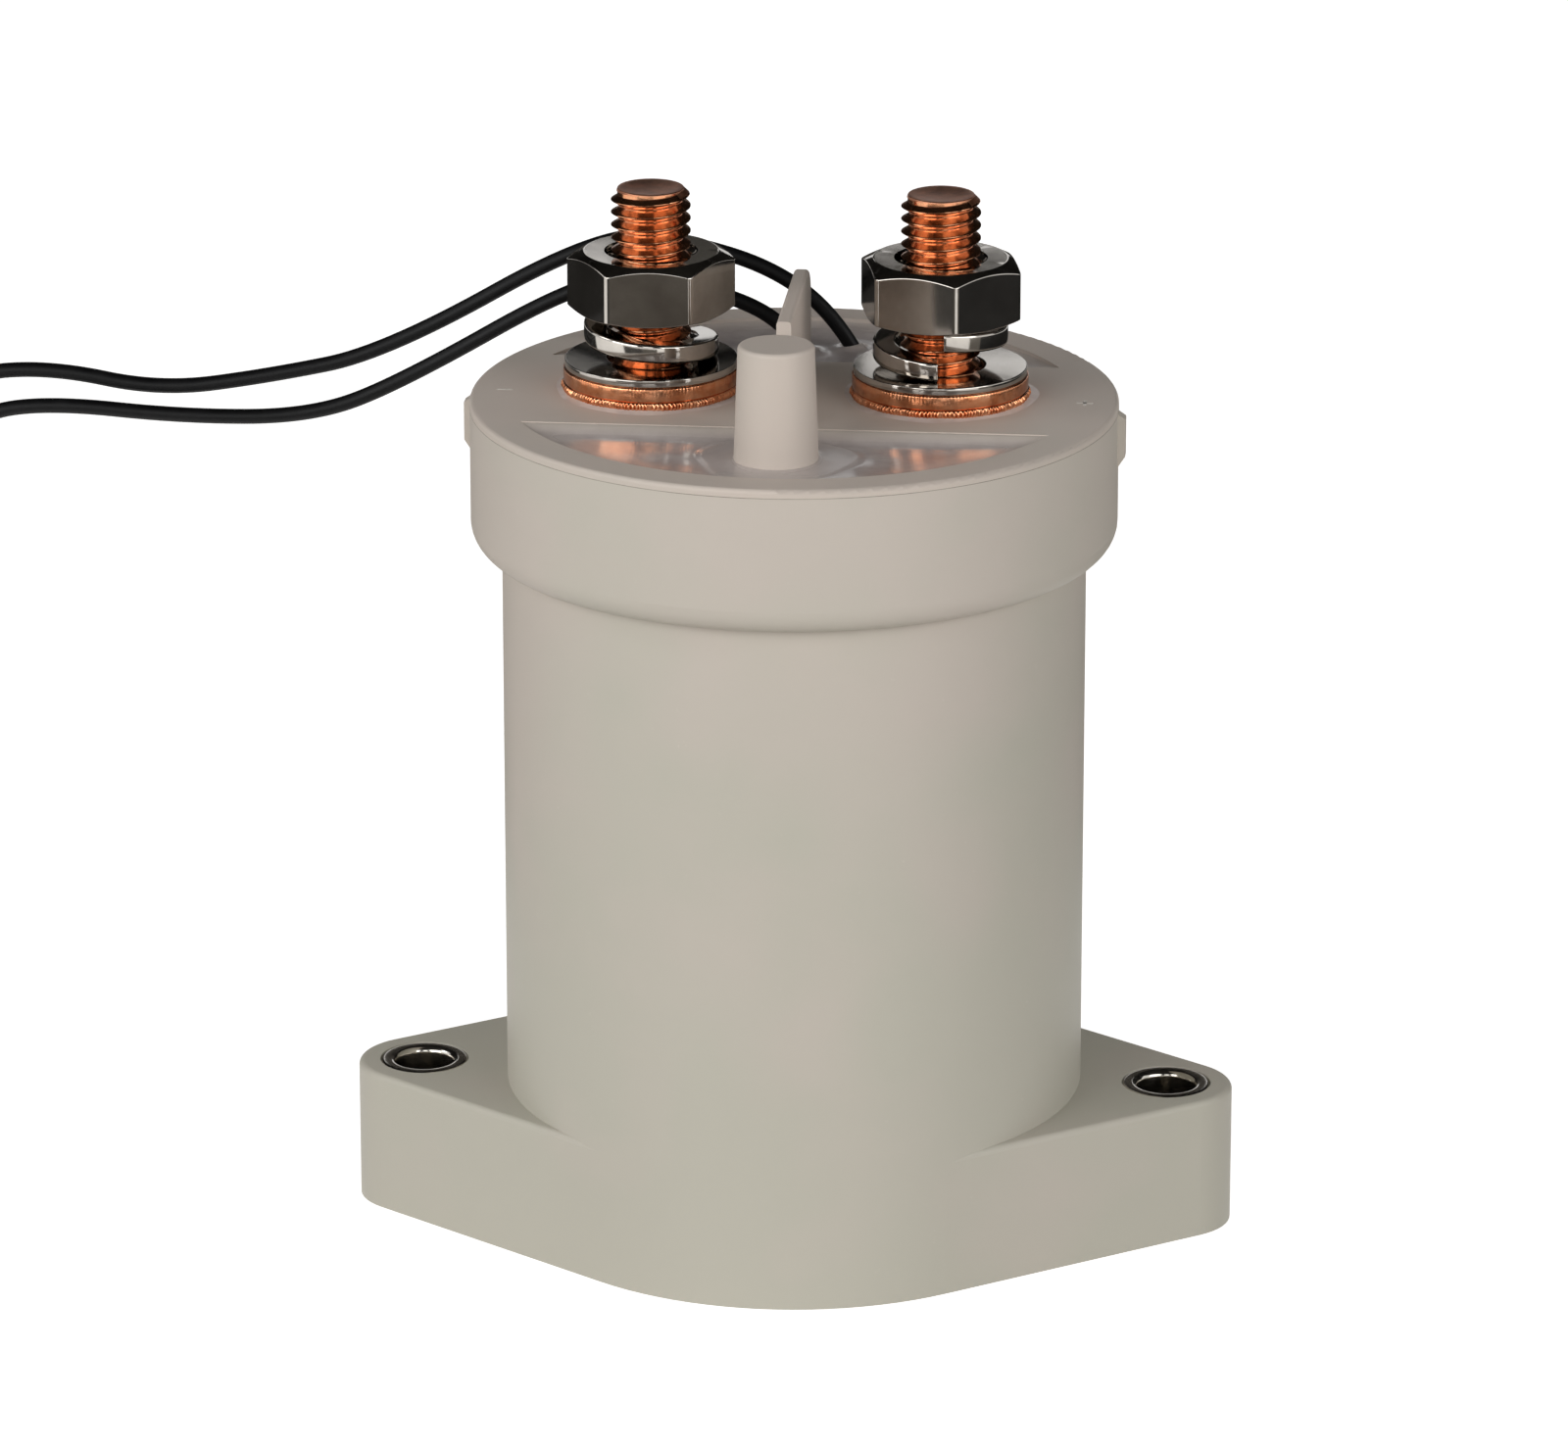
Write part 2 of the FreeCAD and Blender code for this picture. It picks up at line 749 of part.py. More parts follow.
def make_potting():
    """Cast resin round the chamber, open to view in the cover's windows."""
    gap = cell.fit_gap
    body = turned(
        "potting",
        [
            (0, header_top),
            (cavity_radius - gap, header_top),
            (cavity_radius - gap, collar_ledge),
            (collar_cavity - gap, collar_ledge),
            (collar_cavity - gap, skirt_foot),
            (window_radius - gap, skirt_foot),
            (window_radius - gap, potting_top),
            (0, potting_top),
        ],
    )
    offset = cell.unit_offset

    def draw_chamber_space(sketch):
        length = chamber_half_length + gap
        width = chamber_half_width + gap
        draw_outline(sketch, cut_corners(length, width, cell.chamber_corner, offset))

    def draw_band_space(sketch):
        front, back = -cell.band_front - gap, cell.band_back + gap
        reach = collar_radius
        draw_outline(sketch, [(reach, back), (-reach, back), (-reach, front), (reach, front)])

    def draw_pair(radius):
        def draw(sketch):
            for side in (-1, 1):
                draw_circle(sketch, radius + gap, terminal_place * side, offset)

        return draw

    def draw_magnet_space(thickness, length):
        def draw(sketch):
            half = chamber_half_width + thickness + gap
            reach = length / 2 + gap
            draw_outline(
                sketch,
                [
                    (reach, half + offset),
                    (-reach, half + offset),
                    (-reach, offset - half),
                    (reach, offset - half),
                ],
            )

        return draw

    pocket(body, draw_chamber_space, cell.chamber_height, header_top)
    pocket(
        body,
        draw_magnet_space(cell.magnet_thickness + cell.keeper_thickness, cell.keeper_length),
        cell.magnet_height + gap * 2,
        magnet_foot - gap,
    )
    pocket(body, draw_pair(seal_radius), cell.seal_thickness + gap, chamber_top)
    pocket(body, draw_pair(cell.terminal_radius), cell.case_height - chamber_top, chamber_top)
    pocket(
        body, draw_pair(cell.shoulder_radius), cell.shoulder_depth, shoulder_foot - gap
    )
    pocket(
        body,
        draw_band_space,
        cell.band_thickness,
        band_foot - gap,
    )
    pocket(
        body,
        lambda sketch: draw_circle(sketch, cell.fill_tube_radius + gap, 0, -cap_offset),
        cell.case_height - header_top,
        header_top,
    )
    pocket(
        body,
        lambda sketch: draw_circle(sketch, cell.cap_foot_radius + gap, 0, -cap_offset),
        cell.cap_depth + gap,
        cap_foot - gap,
    )
    return keep(body, "potting")


def cut_corners(length, width, corner, shift_y=0):
    """Rectangle with its corners taken off at 45 degrees, about a shifted centre."""
    short_x, short_y = length - corner, width - corner
    return [
        (length, short_y + shift_y),
        (short_x, width + shift_y),
        (-short_x, width + shift_y),
        (-length, short_y + shift_y),
        (-length, shift_y - short_y),
        (-short_x, shift_y - width),
        (short_x, shift_y - width),
        (length, shift_y - short_y),
    ]


def make_tube_cap():
    """Tapered cap over the fill tube, closed at the top."""
    height = cell.cap_depth + cell.cap_height
    body = turned(
        "tube_cap",
        [
            (cap_bore, 0),
            (cell.cap_foot_radius, 0),
            (cell.cap_foot_radius, cell.cap_depth),
            (cell.cap_tip_radius, height),
            (0, height),
            (0, height - cap_bore),
            (cap_bore, height - cap_bore),
        ],
    )
    round_edges(
        body, lambda edge: is_ring(edge, cell.cap_tip_radius, height), cell.cap_edge_round
    )
    place(body, y=-cap_offset, z=cap_foot)
    return keep(body, "tube_cap")


def make_terminal(label, side):
    """One turned copper piece: contact face, body, shoulder and stud."""
    chamfer = cell.stud_chamfer
    top = shoulder_top + cell.stud_length
    body = turned(
        label,
        [
            (0, contact_height),
            (cell.terminal_radius - chamfer, contact_height),
            (cell.terminal_radius, contact_height + chamfer),
            (cell.terminal_radius, shoulder_foot),
            (cell.shoulder_radius, shoulder_foot),
            (cell.shoulder_radius, shoulder_top),
            (cell.stud_radius, shoulder_top),
            (cell.stud_radius, top - chamfer),
            (cell.stud_radius - chamfer, top),
            (0, top),
        ],
    )
    place(body, x=terminal_place * side, y=cell.unit_offset)
    return keep(body, label)


def make_flat_washer(label, side):
    body = turned(
        label, tube_outline(washer_bore, cell.washer_radius, shoulder_top, washer_top)
    )
    place(body, x=terminal_place * side, y=cell.unit_offset)
    return keep(body, label)


def make_spring_washer(label, side, angle):
    """Split washer: one left-handed turn of flat wire, sprung open at the gap."""
    body = helix_body(
        label,
        lambda sketch: draw_outline(
            sketch, tube_outline(washer_bore, split_radius, 0, cell.split_thickness)
        ),
        cell.split_height - cell.split_thickness,
        1 - cell.split_gap / 360,
        left_handed=True,
    )
    place(body, x=terminal_place * side, y=cell.unit_offset, z=washer_top, turn=angle)
    return keep(body, label)


def make_nut(label, side, angle):
    """Hexagon nut: a prism with its corners turned off, more at the top than at the foot."""
    corner = cell.nut_flats / math.sqrt(3)
    prism = doc.addObject("Part::Prism", f"{label}_prism")
    prism.Polygon = 6
    bind(prism, Circumradius=corner, Height=cell.nut_height)
    drop = cell.nut_bore_drop
    blank = turned(
        f"{label}_blank",
        [
            (nut_bore, drop),
            (nut_bore + drop, 0),
            (cell.nut_flats / 2, 0),
            (corner, cell.nut_foot_drop),
            (corner, cell.nut_height - cell.nut_top_drop),
            (cell.nut_face_radius, cell.nut_height),
            (nut_bore + drop, cell.nut_height),
            (nut_bore, cell.nut_height - drop),
        ],
    )
    nut = doc.addObject("Part::Common", label)
    nut.Base = prism
    nut.Tool = blank
    place(nut, x=terminal_place * side, y=cell.unit_offset, z=split_top, turn=angle)
    return keep(nut, label)


def make_header_plate():
    """Steel plate between the yoke and the ceramic, with the fill tube's hole."""
    hole = sleeve_lip_radius + cell.fit_gap
    body = turned("header_plate", tube_outline(hole, header_radius, plate_top, header_top))
    pocket(
        body,
        lambda sketch: draw_circle(sketch, cell.fill_tube_radius + cell.fit_gap, 0, -tube_place),
        cell.header_thickness,
        plate_top,
    )
    place(body, y=cell.unit_offset)
    return keep(body, "header_plate")


def make_fill_tube():
    """Copper gas tube, closed by a crimped tip."""
    inner = cell.fill_tube_radius - cell.fill_tube_wall
    top = cell.fill_tube_length
    body = turned(
        "fill_tube",
        [
            (inner, 0),
            (cell.fill_tube_radius, 0),
            (cell.fill_tube_radius, top - cell.fill_tube_pinch),
            (inner, top),
            (0, top),
            (0, top - cell.fill_tube_pinch),
            (inner, top - cell.fill_tube_pinch - cell.fill_tube_taper),
        ],
    )
    place(body, y=-cap_offset, z=plate_top)
    return keep(body, "fill_tube")


def make_arc_chamber():
    """Ceramic cup, open below, with two holes for the terminals."""
    body = new_body("arc_chamber")
    length, width = chamber_half_length, chamber_half_width
    wall, corner = cell.chamber_wall, cell.chamber_corner
    pad(
        body,
        lambda sketch: draw_outline(sketch, cut_corners(length, width, corner)),
        cell.chamber_height,
        header_top,
    )
    # The corner of the inside is shorter, which keeps the wall even round the corner.
    inner_corner = corner - wall * (2 - math.sqrt(2))
    pocket(
        body,
        lambda sketch: draw_outline(
            sketch, cut_corners(length - wall, width - wall, inner_corner)
        ),
        cell.chamber_height - cell.chamber_roof,
        header_top,
    )

    def draw_holes(sketch):
        for side in (-1, 1):
            draw_circle(sketch, cell.terminal_radius + cell.fit_gap, terminal_place * side, 0)

    pocket(body, draw_holes, cell.chamber_roof, chamber_top - cell.chamber_roof)
    place(body, y=cell.unit_offset)
    return keep(body, "arc_chamber")


def make_terminal_seal(label, side):
    """Ring brazed round the terminal on top of the ceramic."""
    inner = cell.terminal_radius + cell.fit_gap
    body = turned(
        label,
        tube_outline(inner, seal_radius, chamber_top, chamber_top + cell.seal_thickness),
    )
    place(body, x=terminal_place * side, y=cell.unit_offset)
    return keep(body, label)


def make_insulator():
    """Insulating plate on the floor of the chamber, open round the core."""
    body = new_body("insulator")
    inset = cell.chamber_wall + cell.insulator_inset
    length, width = chamber_half_length - inset, chamber_half_width - inset
    corner = cell.chamber_corner - inset * (2 - math.sqrt(2))
    pad(
        body,
        lambda sketch: draw_outline(sketch, cut_corners(length, width, corner)),
        cell.insulator_thickness,
        header_top,
    )
    pocket(
        body,
        lambda sketch: draw_circle(sketch, core_flange_radius + cell.fit_gap),
        cell.insulator_thickness,
        header_top,
    )
    place(body, y=cell.unit_offset)
    return keep(body, "insulator")


def make_slab(label, length, thickness, side, away):
    """Upright slab beside the chamber, its near face at a distance from the middle."""
    slab = doc.addObject("Part::Box", label)
    bind(slab, Length=length, Width=thickness, Height=cell.magnet_height)
    near = away if side > 0 else -away - thickness
    place(slab, x=-length / 2, y=near + cell.unit_offset, z=magnet_foot)
    return keep(slab, label)


def make_contact_bridge():
    """Copper bar that joins the two terminals, raised at its two contact faces."""
    body = new_body("contact_bridge")
    step = cell.bridge_step
    half, width = terminal_place + cell.bridge_overhang, cell.bridge_width / 2
    pad(
        body,
        lambda sketch: draw_outline(sketch, cut_corners(half, width, cell.bridge_corner)),
        cell.bridge_thickness - step,
        bridge_foot,
    )

    def draw_faces(sketch):
        for side in (-1, 1):
            draw_circle(sketch, cell.terminal_radius - cell.bridge_face_inset, terminal_place * side)

    pad(body, draw_faces, step, bridge_top - step)
    pad(body, lambda sketch: draw_circle(sketch, clip_radius), step, bridge_top - step)
    pocket(
        body,
        lambda sketch: draw_circle(sketch, cell.shaft_radius + cell.running_gap),
        cell.bridge_thickness,
        bridge_foot,
    )
    place(body, y=cell.unit_offset)
    return keep(body, "contact_bridge")


def make_shaft():
    """Steel shaft from the plunger to the bridge, with a collar under the spring seat."""
    body = turned(
        "shaft",
        [
            (0, plunger_foot),
            (cell.shaft_radius, plunger_foot),
            (cell.shaft_radius, seat_foot - cell.shaft_collar_length),
            (cell.shaft_radius + cell.shaft_collar_step, seat_foot - cell.shaft_collar_length),
            (cell.shaft_radius + cell.shaft_collar_step, seat_foot),
            (cell.shaft_radius, seat_foot),
            (cell.shaft_radius, shaft_top),
            (0, shaft_top),
        ],
    )
    # The clip's groove near the top.
    groove(
        body,
        tube_outline(
            cell.shaft_radius - cell.shaft_groove,
            clip_radius,
            clip_foot,
            clip_foot + cell.clip_thickness,
        ),
    )
    place(body, y=cell.unit_offset)
    return keep(body, "shaft")


def make_bridge_clip():
    """Open clip in the shaft's groove."""
    inner = cell.shaft_radius - cell.shaft_groove + cell.press_gap
    body = turned(
        "bridge_clip",
        tube_outline(inner, clip_radius, clip_foot, clip_foot + cell.clip_thickness),
    )
    half = cell.clip_opening / 2
    pocket(
        body,
        lambda sketch: draw_outline(
            sketch,
            [(half, 0), (-half, 0), (-half, -clip_radius * 2), (half, -clip_radius * 2)],
        ),
        cell.clip_thickness,
        clip_foot,
    )
    place(body, y=cell.unit_offset)
    return keep(body, "bridge_clip")


def make_spring_seat():
    """Washer on the shaft's collar that carries the contact spring."""
    outer = cell.contact_spring_radius + cell.contact_spring_wire / 2 + cell.seat_margin
    body = turned(
        "spring_seat",
        tube_outline(cell.shaft_radius + cell.press_gap, outer, seat_foot, seat_top),
    )
    place(body, y=cell.unit_offset)
    return keep(body, "spring_seat")


def make_spring(label, radius, wire, turns, foot, length):
    """Compression spring with ground ends, flat on both seats."""
    coil = helix_body(
        f"{label}_coil",
        lambda sketch: draw_circle(sketch, wire / 2, radius, 0),
        length,
        turns,
    )
    barrel = doc.addObject("Part::Cylinder", f"{label}_barrel")
    bind(barrel, Radius=radius + wire, Height=length)
    spring = doc.addObject("Part::Common", label)
    spring.Base = coil
    spring.Tool = barrel
    place(spring, y=cell.unit_offset, z=foot)
    return keep(spring, label)


def make_sleeve():
    """Gas-tight can round the plunger, closed below and lipped at the top."""
    body = turned(
        "sleeve",
        [
            (0, sleeve_foot),
            (cell.sleeve_radius, sleeve_foot),
            (cell.sleeve_radius, plate_top),
            (sleeve_lip_radius, plate_top),
            (sleeve_lip_radius, sleeve_top),
            (sleeve_bore, sleeve_top),
            (sleeve_bore, sleeve_floor),
            (0, sleeve_floor),
        ],
    )
    place(body, y=cell.unit_offset)
    return keep(body, "sleeve")


def make_bumper():
    """Rubber pad that the plunger rests on."""
    radius = sleeve_bore - cell.bumper_gap
    body = turned(
        "bumper", [(0, sleeve_floor), (radius, sleeve_floor), (radius, bumper_top), (0, bumper_top)]
    )
    place(body, y=cell.unit_offset)
    return keep(body, "bumper")


def make_plunger():
    """Moving core, bored for the shaft and hollowed for the return spring."""
    outer = sleeve_bore - cell.running_gap
    bore = cell.shaft_radius + cell.press_gap
    body = turned(
        "plunger",
        [
            (bore, plunger_foot),
            (outer, plunger_foot),
            (outer, plunger_top),
            (spring_pocket_radius, plunger_top),
            (spring_pocket_radius, spring_foot),
            (bore, spring_foot),
        ],
    )
    place(body, y=cell.unit_offset)
    return keep(body, "plunger")


def make_fixed_core():
    """Core fixed at the top of the sleeve, which pulls the plunger up."""
    outer = sleeve_bore - cell.fit_gap
    bore = cell.shaft_radius + cell.running_gap
    top = sleeve_top + cell.core_flange
    body = turned(
        "fixed_core",
        [
            (spring_pocket_radius, core_foot),
            (outer, core_foot),
            (outer, sleeve_top),
            (core_flange_radius, sleeve_top),
            (core_flange_radius, top),
            (bore, top),
            (bore, core_foot + cell.core_pocket),
            (spring_pocket_radius, core_foot + cell.core_pocket),
        ],
    )
    place(body, y=cell.unit_offset)
    return keep(body, "fixed_core")


def make_bobbin():
    """Moulded spool between the yoke's floor and its upper plate."""
    inner = cell.sleeve_radius + cell.fit_gap
    foot = yoke_floor_top
    drum = inner + cell.bobbin_wall
    flange = cell.bobbin_flange
    body = turned(
        "bobbin",
        [
            (inner, foot),
            (bobbin_radius, foot),
            (bobbin_radius, foot + flange),
            (drum, foot + flange),
            (drum, yoke_top - flange),
            (bobbin_radius, yoke_top - flange),
            (bobbin_radius, yoke_top),
            (inner, yoke_top),
        ],
    )
    place(body, y=cell.unit_offset)
    return keep(body, "bobbin")


def make_winding():
    foot = yoke_floor_top + cell.bobbin_flange + cell.rest_gap
    top = yoke_top - cell.bobbin_flange - cell.rest_gap
    inner = cell.sleeve_radius + cell.bobbin_wall + cell.fit_gap * 2
    body = turned("winding", tube_outline(inner, winding_radius, foot, top))
    place(body, y=cell.unit_offset)
    return keep(body, "winding")


def make_yoke_shell():
    """Steel cup round the coil, open at the centre of its floor for the sleeve."""
    hole = cell.sleeve_radius + cell.fit_gap
    foot = cell.floor_thickness
    inside = yoke_radius - cell.yoke_wall
    body = turned(
        "yoke_shell",
        [
            (hole, foot),
            (yoke_radius, foot),
            (yoke_radius, yoke_top),
            (inside, yoke_top),
            (inside, yoke_floor_top),
            (hole, yoke_floor_top),
        ],
    )
    place(body, y=cell.unit_offset)
    return keep(body, "yoke_shell")


def make_upper_yoke_plate():
    """Steel plate over the coil, with the channel that leads gas to the fill tube."""
    hole = cell.sleeve_radius + cell.fit_gap
    body = turned("upper_yoke_plate", tube_outline(hole, yoke_radius, yoke_top, plate_top))
    half = cell.channel_width / 2
    pocket(
        body,
        lambda sketch: draw_outline(
            sketch,
            [
                (half, -sleeve_lip_radius),
                (-half, -sleeve_lip_radius),
                (-half, -tube_place - half),
                (half, -tube_place - half),
            ],
        ),
        cell.channel_depth,
        plate_top - cell.channel_depth,
    )
    place(body, y=cell.unit_offset)
    return keep(body, "upper_yoke_plate")


def lead_path(points):
    """Straight runs joined by tangent arcs, each as large as its two runs allow."""
    corners = [Vector(*point) for point in points]
    edges, radii = [], []
    start = corners[0]
    for before, corner, after in zip(corners, corners[1:], corners[2:]):
        back, ahead = before - corner, after - corner
        half_turn = (math.pi - back.getAngle(ahead)) / 2
        cut = RUN_SHARE * min(back.Length, ahead.Length)
        radius = cut / math.tan(half_turn)
        back.normalize()
        ahead.normalize()
        enter, leave = corner + back * cut, corner + ahead * cut
        bisector = back + ahead
        bisector.normalize()
        middle = corner + bisector * (radius / math.cos(half_turn) - radius)
        edges.append(Part.LineSegment(start, enter).toShape())
        edges.append(Part.Arc(enter, middle, leave).toShape())
        radii.append(radius)
        start = leave
    edges.append(Part.LineSegment(start, corners[-1]).toShape())
    return Part.Wire(edges), radii


def make_lead(label, points):
    """Insulated lead with its stripped end."""
    radius = cell.lead_radius.value
    path, radii = lead_path(points)
    start, aim = Vector(*points[0]), Vector(*points[1]) - Vector(*points[0])
    ring = Part.Wire(Part.makeCircle(radius, start, aim))
    lead = doc.addObject("Part::Feature", label)
    lead.Shape = path.makePipeShell([ring], True, False)
    expected = math.pi * radius**2 * path.Length
    print(f"{label}: length {path.Length:.1f}, smallest radius {min(radii):.1f},",
          f"volume {lead.Shape.Volume / expected:.4f} of section times length")
    keep(lead, label)
    end = Vector(*points[-1])
    onward = (end - Vector(*points[-2])).normalize()
    tip = doc.addObject("Part::Feature", f"{label}_end")
    tip.Shape = Part.makeCylinder(
        cell.lead_tip_radius.value, cell.lead_tip_length.value, end, onward
    )
    keep(tip, f"{label}_end")


def check_document():
    doc.recompute()
    failed = [item.Name for item in doc.Objects if {"Invalid", "Error"} & set(item.State)]
    for name in node_names:
        shape = doc.getObject(name).Shape
        if shape.isNull() or not shape.isValid() or not shape.Solids:
            failed.append(name)
    if failed:
        raise RuntimeError(f"these did not build: {', '.join(failed)}")


make_housing()
make_cover()
make_potting()
make_tube_cap()
for end, side, split_angle, nut_angle in (
    ("left", -1, cell.split_angle_left, cell.nut_angle_left),
    ("right", 1, cell.split_angle_right, cell.nut_angle_right),
):
    make_bush(f"mounting_bush_{end}", side)
    make_terminal(f"terminal_{end}", side)
    make_terminal_seal(f"terminal_seal_{end}", side)
    make_flat_washer(f"flat_washer_{end}", side)
    make_spring_washer(f"spring_washer_{end}", side, split_angle)
    make_nut(f"nut_{end}", side, nut_angle)
make_header_plate()
make_fill_tube()
make_arc_chamber()
make_insulator()
for end, side in (("front", -1), ("back", 1)):
    make_slab(
        f"blowout_magnet_{end}", cell.magnet_length, cell.magnet_thickness, side, chamber_half_width
    )
    make_slab(
        f"magnet_keeper_{end}",
        cell.keeper_length,
        cell.keeper_thickness,
        side,
        chamber_half_width + cell.magnet_thickness,
    )
make_contact_bridge()
make_shaft()
make_bridge_clip()
make_spring_seat()
make_spring(
    "contact_spring",
    cell.contact_spring_radius,
    cell.contact_spring_wire,
    cell.contact_spring_turns,
    seat_top,
    cell.contact_spring_length,
)
make_sleeve()
make_bumper()
make_plunger()
make_spring(
    "return_spring",
    cell.return_spring_radius,
    cell.return_spring_wire,
    cell.return_spring_turns,
    spring_foot,
    cell.plunger_pocket + cell.armature_travel + cell.core_pocket,
)
make_fixed_core()
make_bobbin()
make_winding()
make_yoke_shell()
make_upper_yoke_plate()
for label, points in LEADS.items():
    make_lead(label, points)

check_document()
os.makedirs("parts", exist_ok=True)
for name in node_names:
    thing = doc.getObject(name)
    thing.Shape.exportStep(f"parts/{thing.Label}.step")
print(f"{len(node_names)} parts written")
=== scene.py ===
import json
import math
import bmesh
import bpy
from mathutils import Matrix, Vector

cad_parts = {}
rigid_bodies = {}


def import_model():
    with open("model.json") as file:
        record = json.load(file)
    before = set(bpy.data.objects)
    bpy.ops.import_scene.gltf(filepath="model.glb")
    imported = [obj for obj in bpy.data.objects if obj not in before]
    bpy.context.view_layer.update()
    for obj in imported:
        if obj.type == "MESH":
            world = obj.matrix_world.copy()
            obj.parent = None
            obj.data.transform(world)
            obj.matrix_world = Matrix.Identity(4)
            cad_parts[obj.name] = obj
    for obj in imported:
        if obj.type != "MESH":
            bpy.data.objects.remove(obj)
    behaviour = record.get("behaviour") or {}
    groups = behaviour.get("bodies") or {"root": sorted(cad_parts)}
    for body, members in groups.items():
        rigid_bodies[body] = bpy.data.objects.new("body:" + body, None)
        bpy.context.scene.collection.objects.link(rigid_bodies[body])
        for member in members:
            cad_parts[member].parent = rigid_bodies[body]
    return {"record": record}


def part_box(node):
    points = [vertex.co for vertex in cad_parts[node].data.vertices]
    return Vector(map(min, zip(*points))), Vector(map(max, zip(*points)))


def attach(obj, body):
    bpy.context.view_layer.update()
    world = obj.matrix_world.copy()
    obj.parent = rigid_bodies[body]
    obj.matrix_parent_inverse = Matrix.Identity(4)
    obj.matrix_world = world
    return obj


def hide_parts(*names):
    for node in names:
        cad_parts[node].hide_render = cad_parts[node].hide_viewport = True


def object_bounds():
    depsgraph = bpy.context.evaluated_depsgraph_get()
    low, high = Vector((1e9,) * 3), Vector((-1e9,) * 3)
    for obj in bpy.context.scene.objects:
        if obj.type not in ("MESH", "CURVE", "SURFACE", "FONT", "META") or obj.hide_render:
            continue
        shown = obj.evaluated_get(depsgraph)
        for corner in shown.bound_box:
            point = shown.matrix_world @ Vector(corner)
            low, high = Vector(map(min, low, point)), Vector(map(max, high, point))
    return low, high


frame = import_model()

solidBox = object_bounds()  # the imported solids' box, before anything is added
fullTurn = 2 * math.pi
quarter = math.pi / 2
mm = 0.001

# Camera at the photograph's place: a long lens, a little above the cover and to the right
shot = {
    "eye": (0.0895, -0.9819, 0.3913),
    "downTilt": 0.3243,
    "turn": 0.0921,
    "lens": 204.3,
    "sensor": 36.0,
}

camera = bpy.data.objects.new("camera", bpy.data.cameras.new("camera"))
camera.data.lens = shot["lens"]
camera.data.sensor_width = shot["sensor"]
camera.location = shot["eye"]
camera.rotation_euler = (math.pi / 2 - shot["downTilt"], 0, shot["turn"])
bpy.context.collection.objects.link(camera)
bpy.context.scene.camera = camera
bpy.context.scene.view_settings.view_transform = "Standard"
print("camera set")


# Small tools for materials

def linearColour(hexText):  # a screen colour as the linear values that Blender wants
    steps = [int(hexText[i:i + 2], 16) / 255 for i in (0, 2, 4)]
    return [s / 12.92 if s <= 0.04045 else ((s + 0.055) / 1.055) ** 2.4 for s in steps] + [1.0]


def addNode(tree, kind, inputs=None, output=0, **settings):  # gives an output; a socket in inputs is linked
    node = tree.nodes.new("ShaderNode" + kind)
    for name, value in settings.items():
        setattr(node, name, value)
    for name, value in (inputs or {}).items():
        if isinstance(value, bpy.types.NodeSocket):
            tree.links.new(value, node.inputs[name])
        else:
            node.inputs[name].default_value = value
    return node.outputs[output]


def newMaterial(name, sockets):
    material = bpy.data.materials.new(name)
    material.use_nodes = True
    shader = material.node_tree.nodes["Principled BSDF"]
    for socket, value in sockets.items():
        shader.inputs[socket].default_value = value
    return material, material.node_tree, shader


def objectPoint(tree):
    return addNode(tree, "TexCoord", output="Object")


def marks(tree, size, detail=3.0, roughness=0.55, stretch=None):  # uneven patches about size metres wide
    point = objectPoint(tree)
    if stretch:
        point = addNode(tree, "Mapping", {"Vector": point, "Scale": stretch})
    settings = {"Vector": point, "Scale": 1 / size, "Detail": detail, "Roughness": roughness}
    return addNode(tree, "TexNoise", settings)


def tinted(tree, pattern, low, high, dark, pale):  # from one colour to the other between low and high
    colour = addNode(tree, "ValToRGB", {"Fac": pattern})
    first, last = colour.node.color_ramp.elements
    first.position, first.color = low, linearColour(dark)
    last.position, last.color = high, linearColour(pale)
    return colour


def raiseSurface(tree, shader, pattern, height, strength):  # height in metres, added to the relief there
    settings = {"Height": pattern, "Distance": height, "Strength": strength}
    links = shader.inputs["Normal"].links
    if links:
        settings["Normal"] = links[0].from_socket
    tree.links.new(addNode(tree, "Bump", settings), shader.inputs["Normal"])


def fromAxis(tree, place):  # distance from an upright line through place
    away = addNode(tree, "VectorMath", {0: objectPoint(tree), 1: (*place, 0)}, operation="SUBTRACT")
    level = addNode(tree, "VectorMath", {0: away, 1: (1, 1, 0)}, operation="MULTIPLY")
    return addNode(tree, "VectorMath", {0: level}, "Value", operation="LENGTH")


def heightOf(tree):
    return addNode(tree, "SeparateXYZ", {"Vector": objectPoint(tree)}, "Z")


# Finishes with a look of their own

resin = {
    "housing": {"plain": "c2bbaf", "warm": "cabfb6", "cool": "bcbbad"},
    # the cover's tones are the housing resin made paler: painted light that brightens the cap and fin
    "cover": {"plain": "c8beb3", "warm": "cec1b7", "cool": "c0baaf"},
    # the height range and share after the clouds set painted shade, cooler and darker low on the housing
    "cloud": 22 * mm, "cloudShare": 0.7, "paintedShadeHeights": (20 * mm, 95 * mm), "paintedShadeShare": 0.26, "tintShare": 0.55,
    "scuff": "d8d2c8", "scuffSize": 1.6 * mm, "scuffFrom": 0.68, "scuffTo": 0.78, "scuffShare": 0.35,
    "gloss": (0.46, 0.6), "tintFrom": 0.36, "tintTo": 0.62,
    "grain": 0.32 * mm, "grainDepth": 0.012 * mm, "wave": 9 * mm, "waveDepth": 0.05 * mm,
}


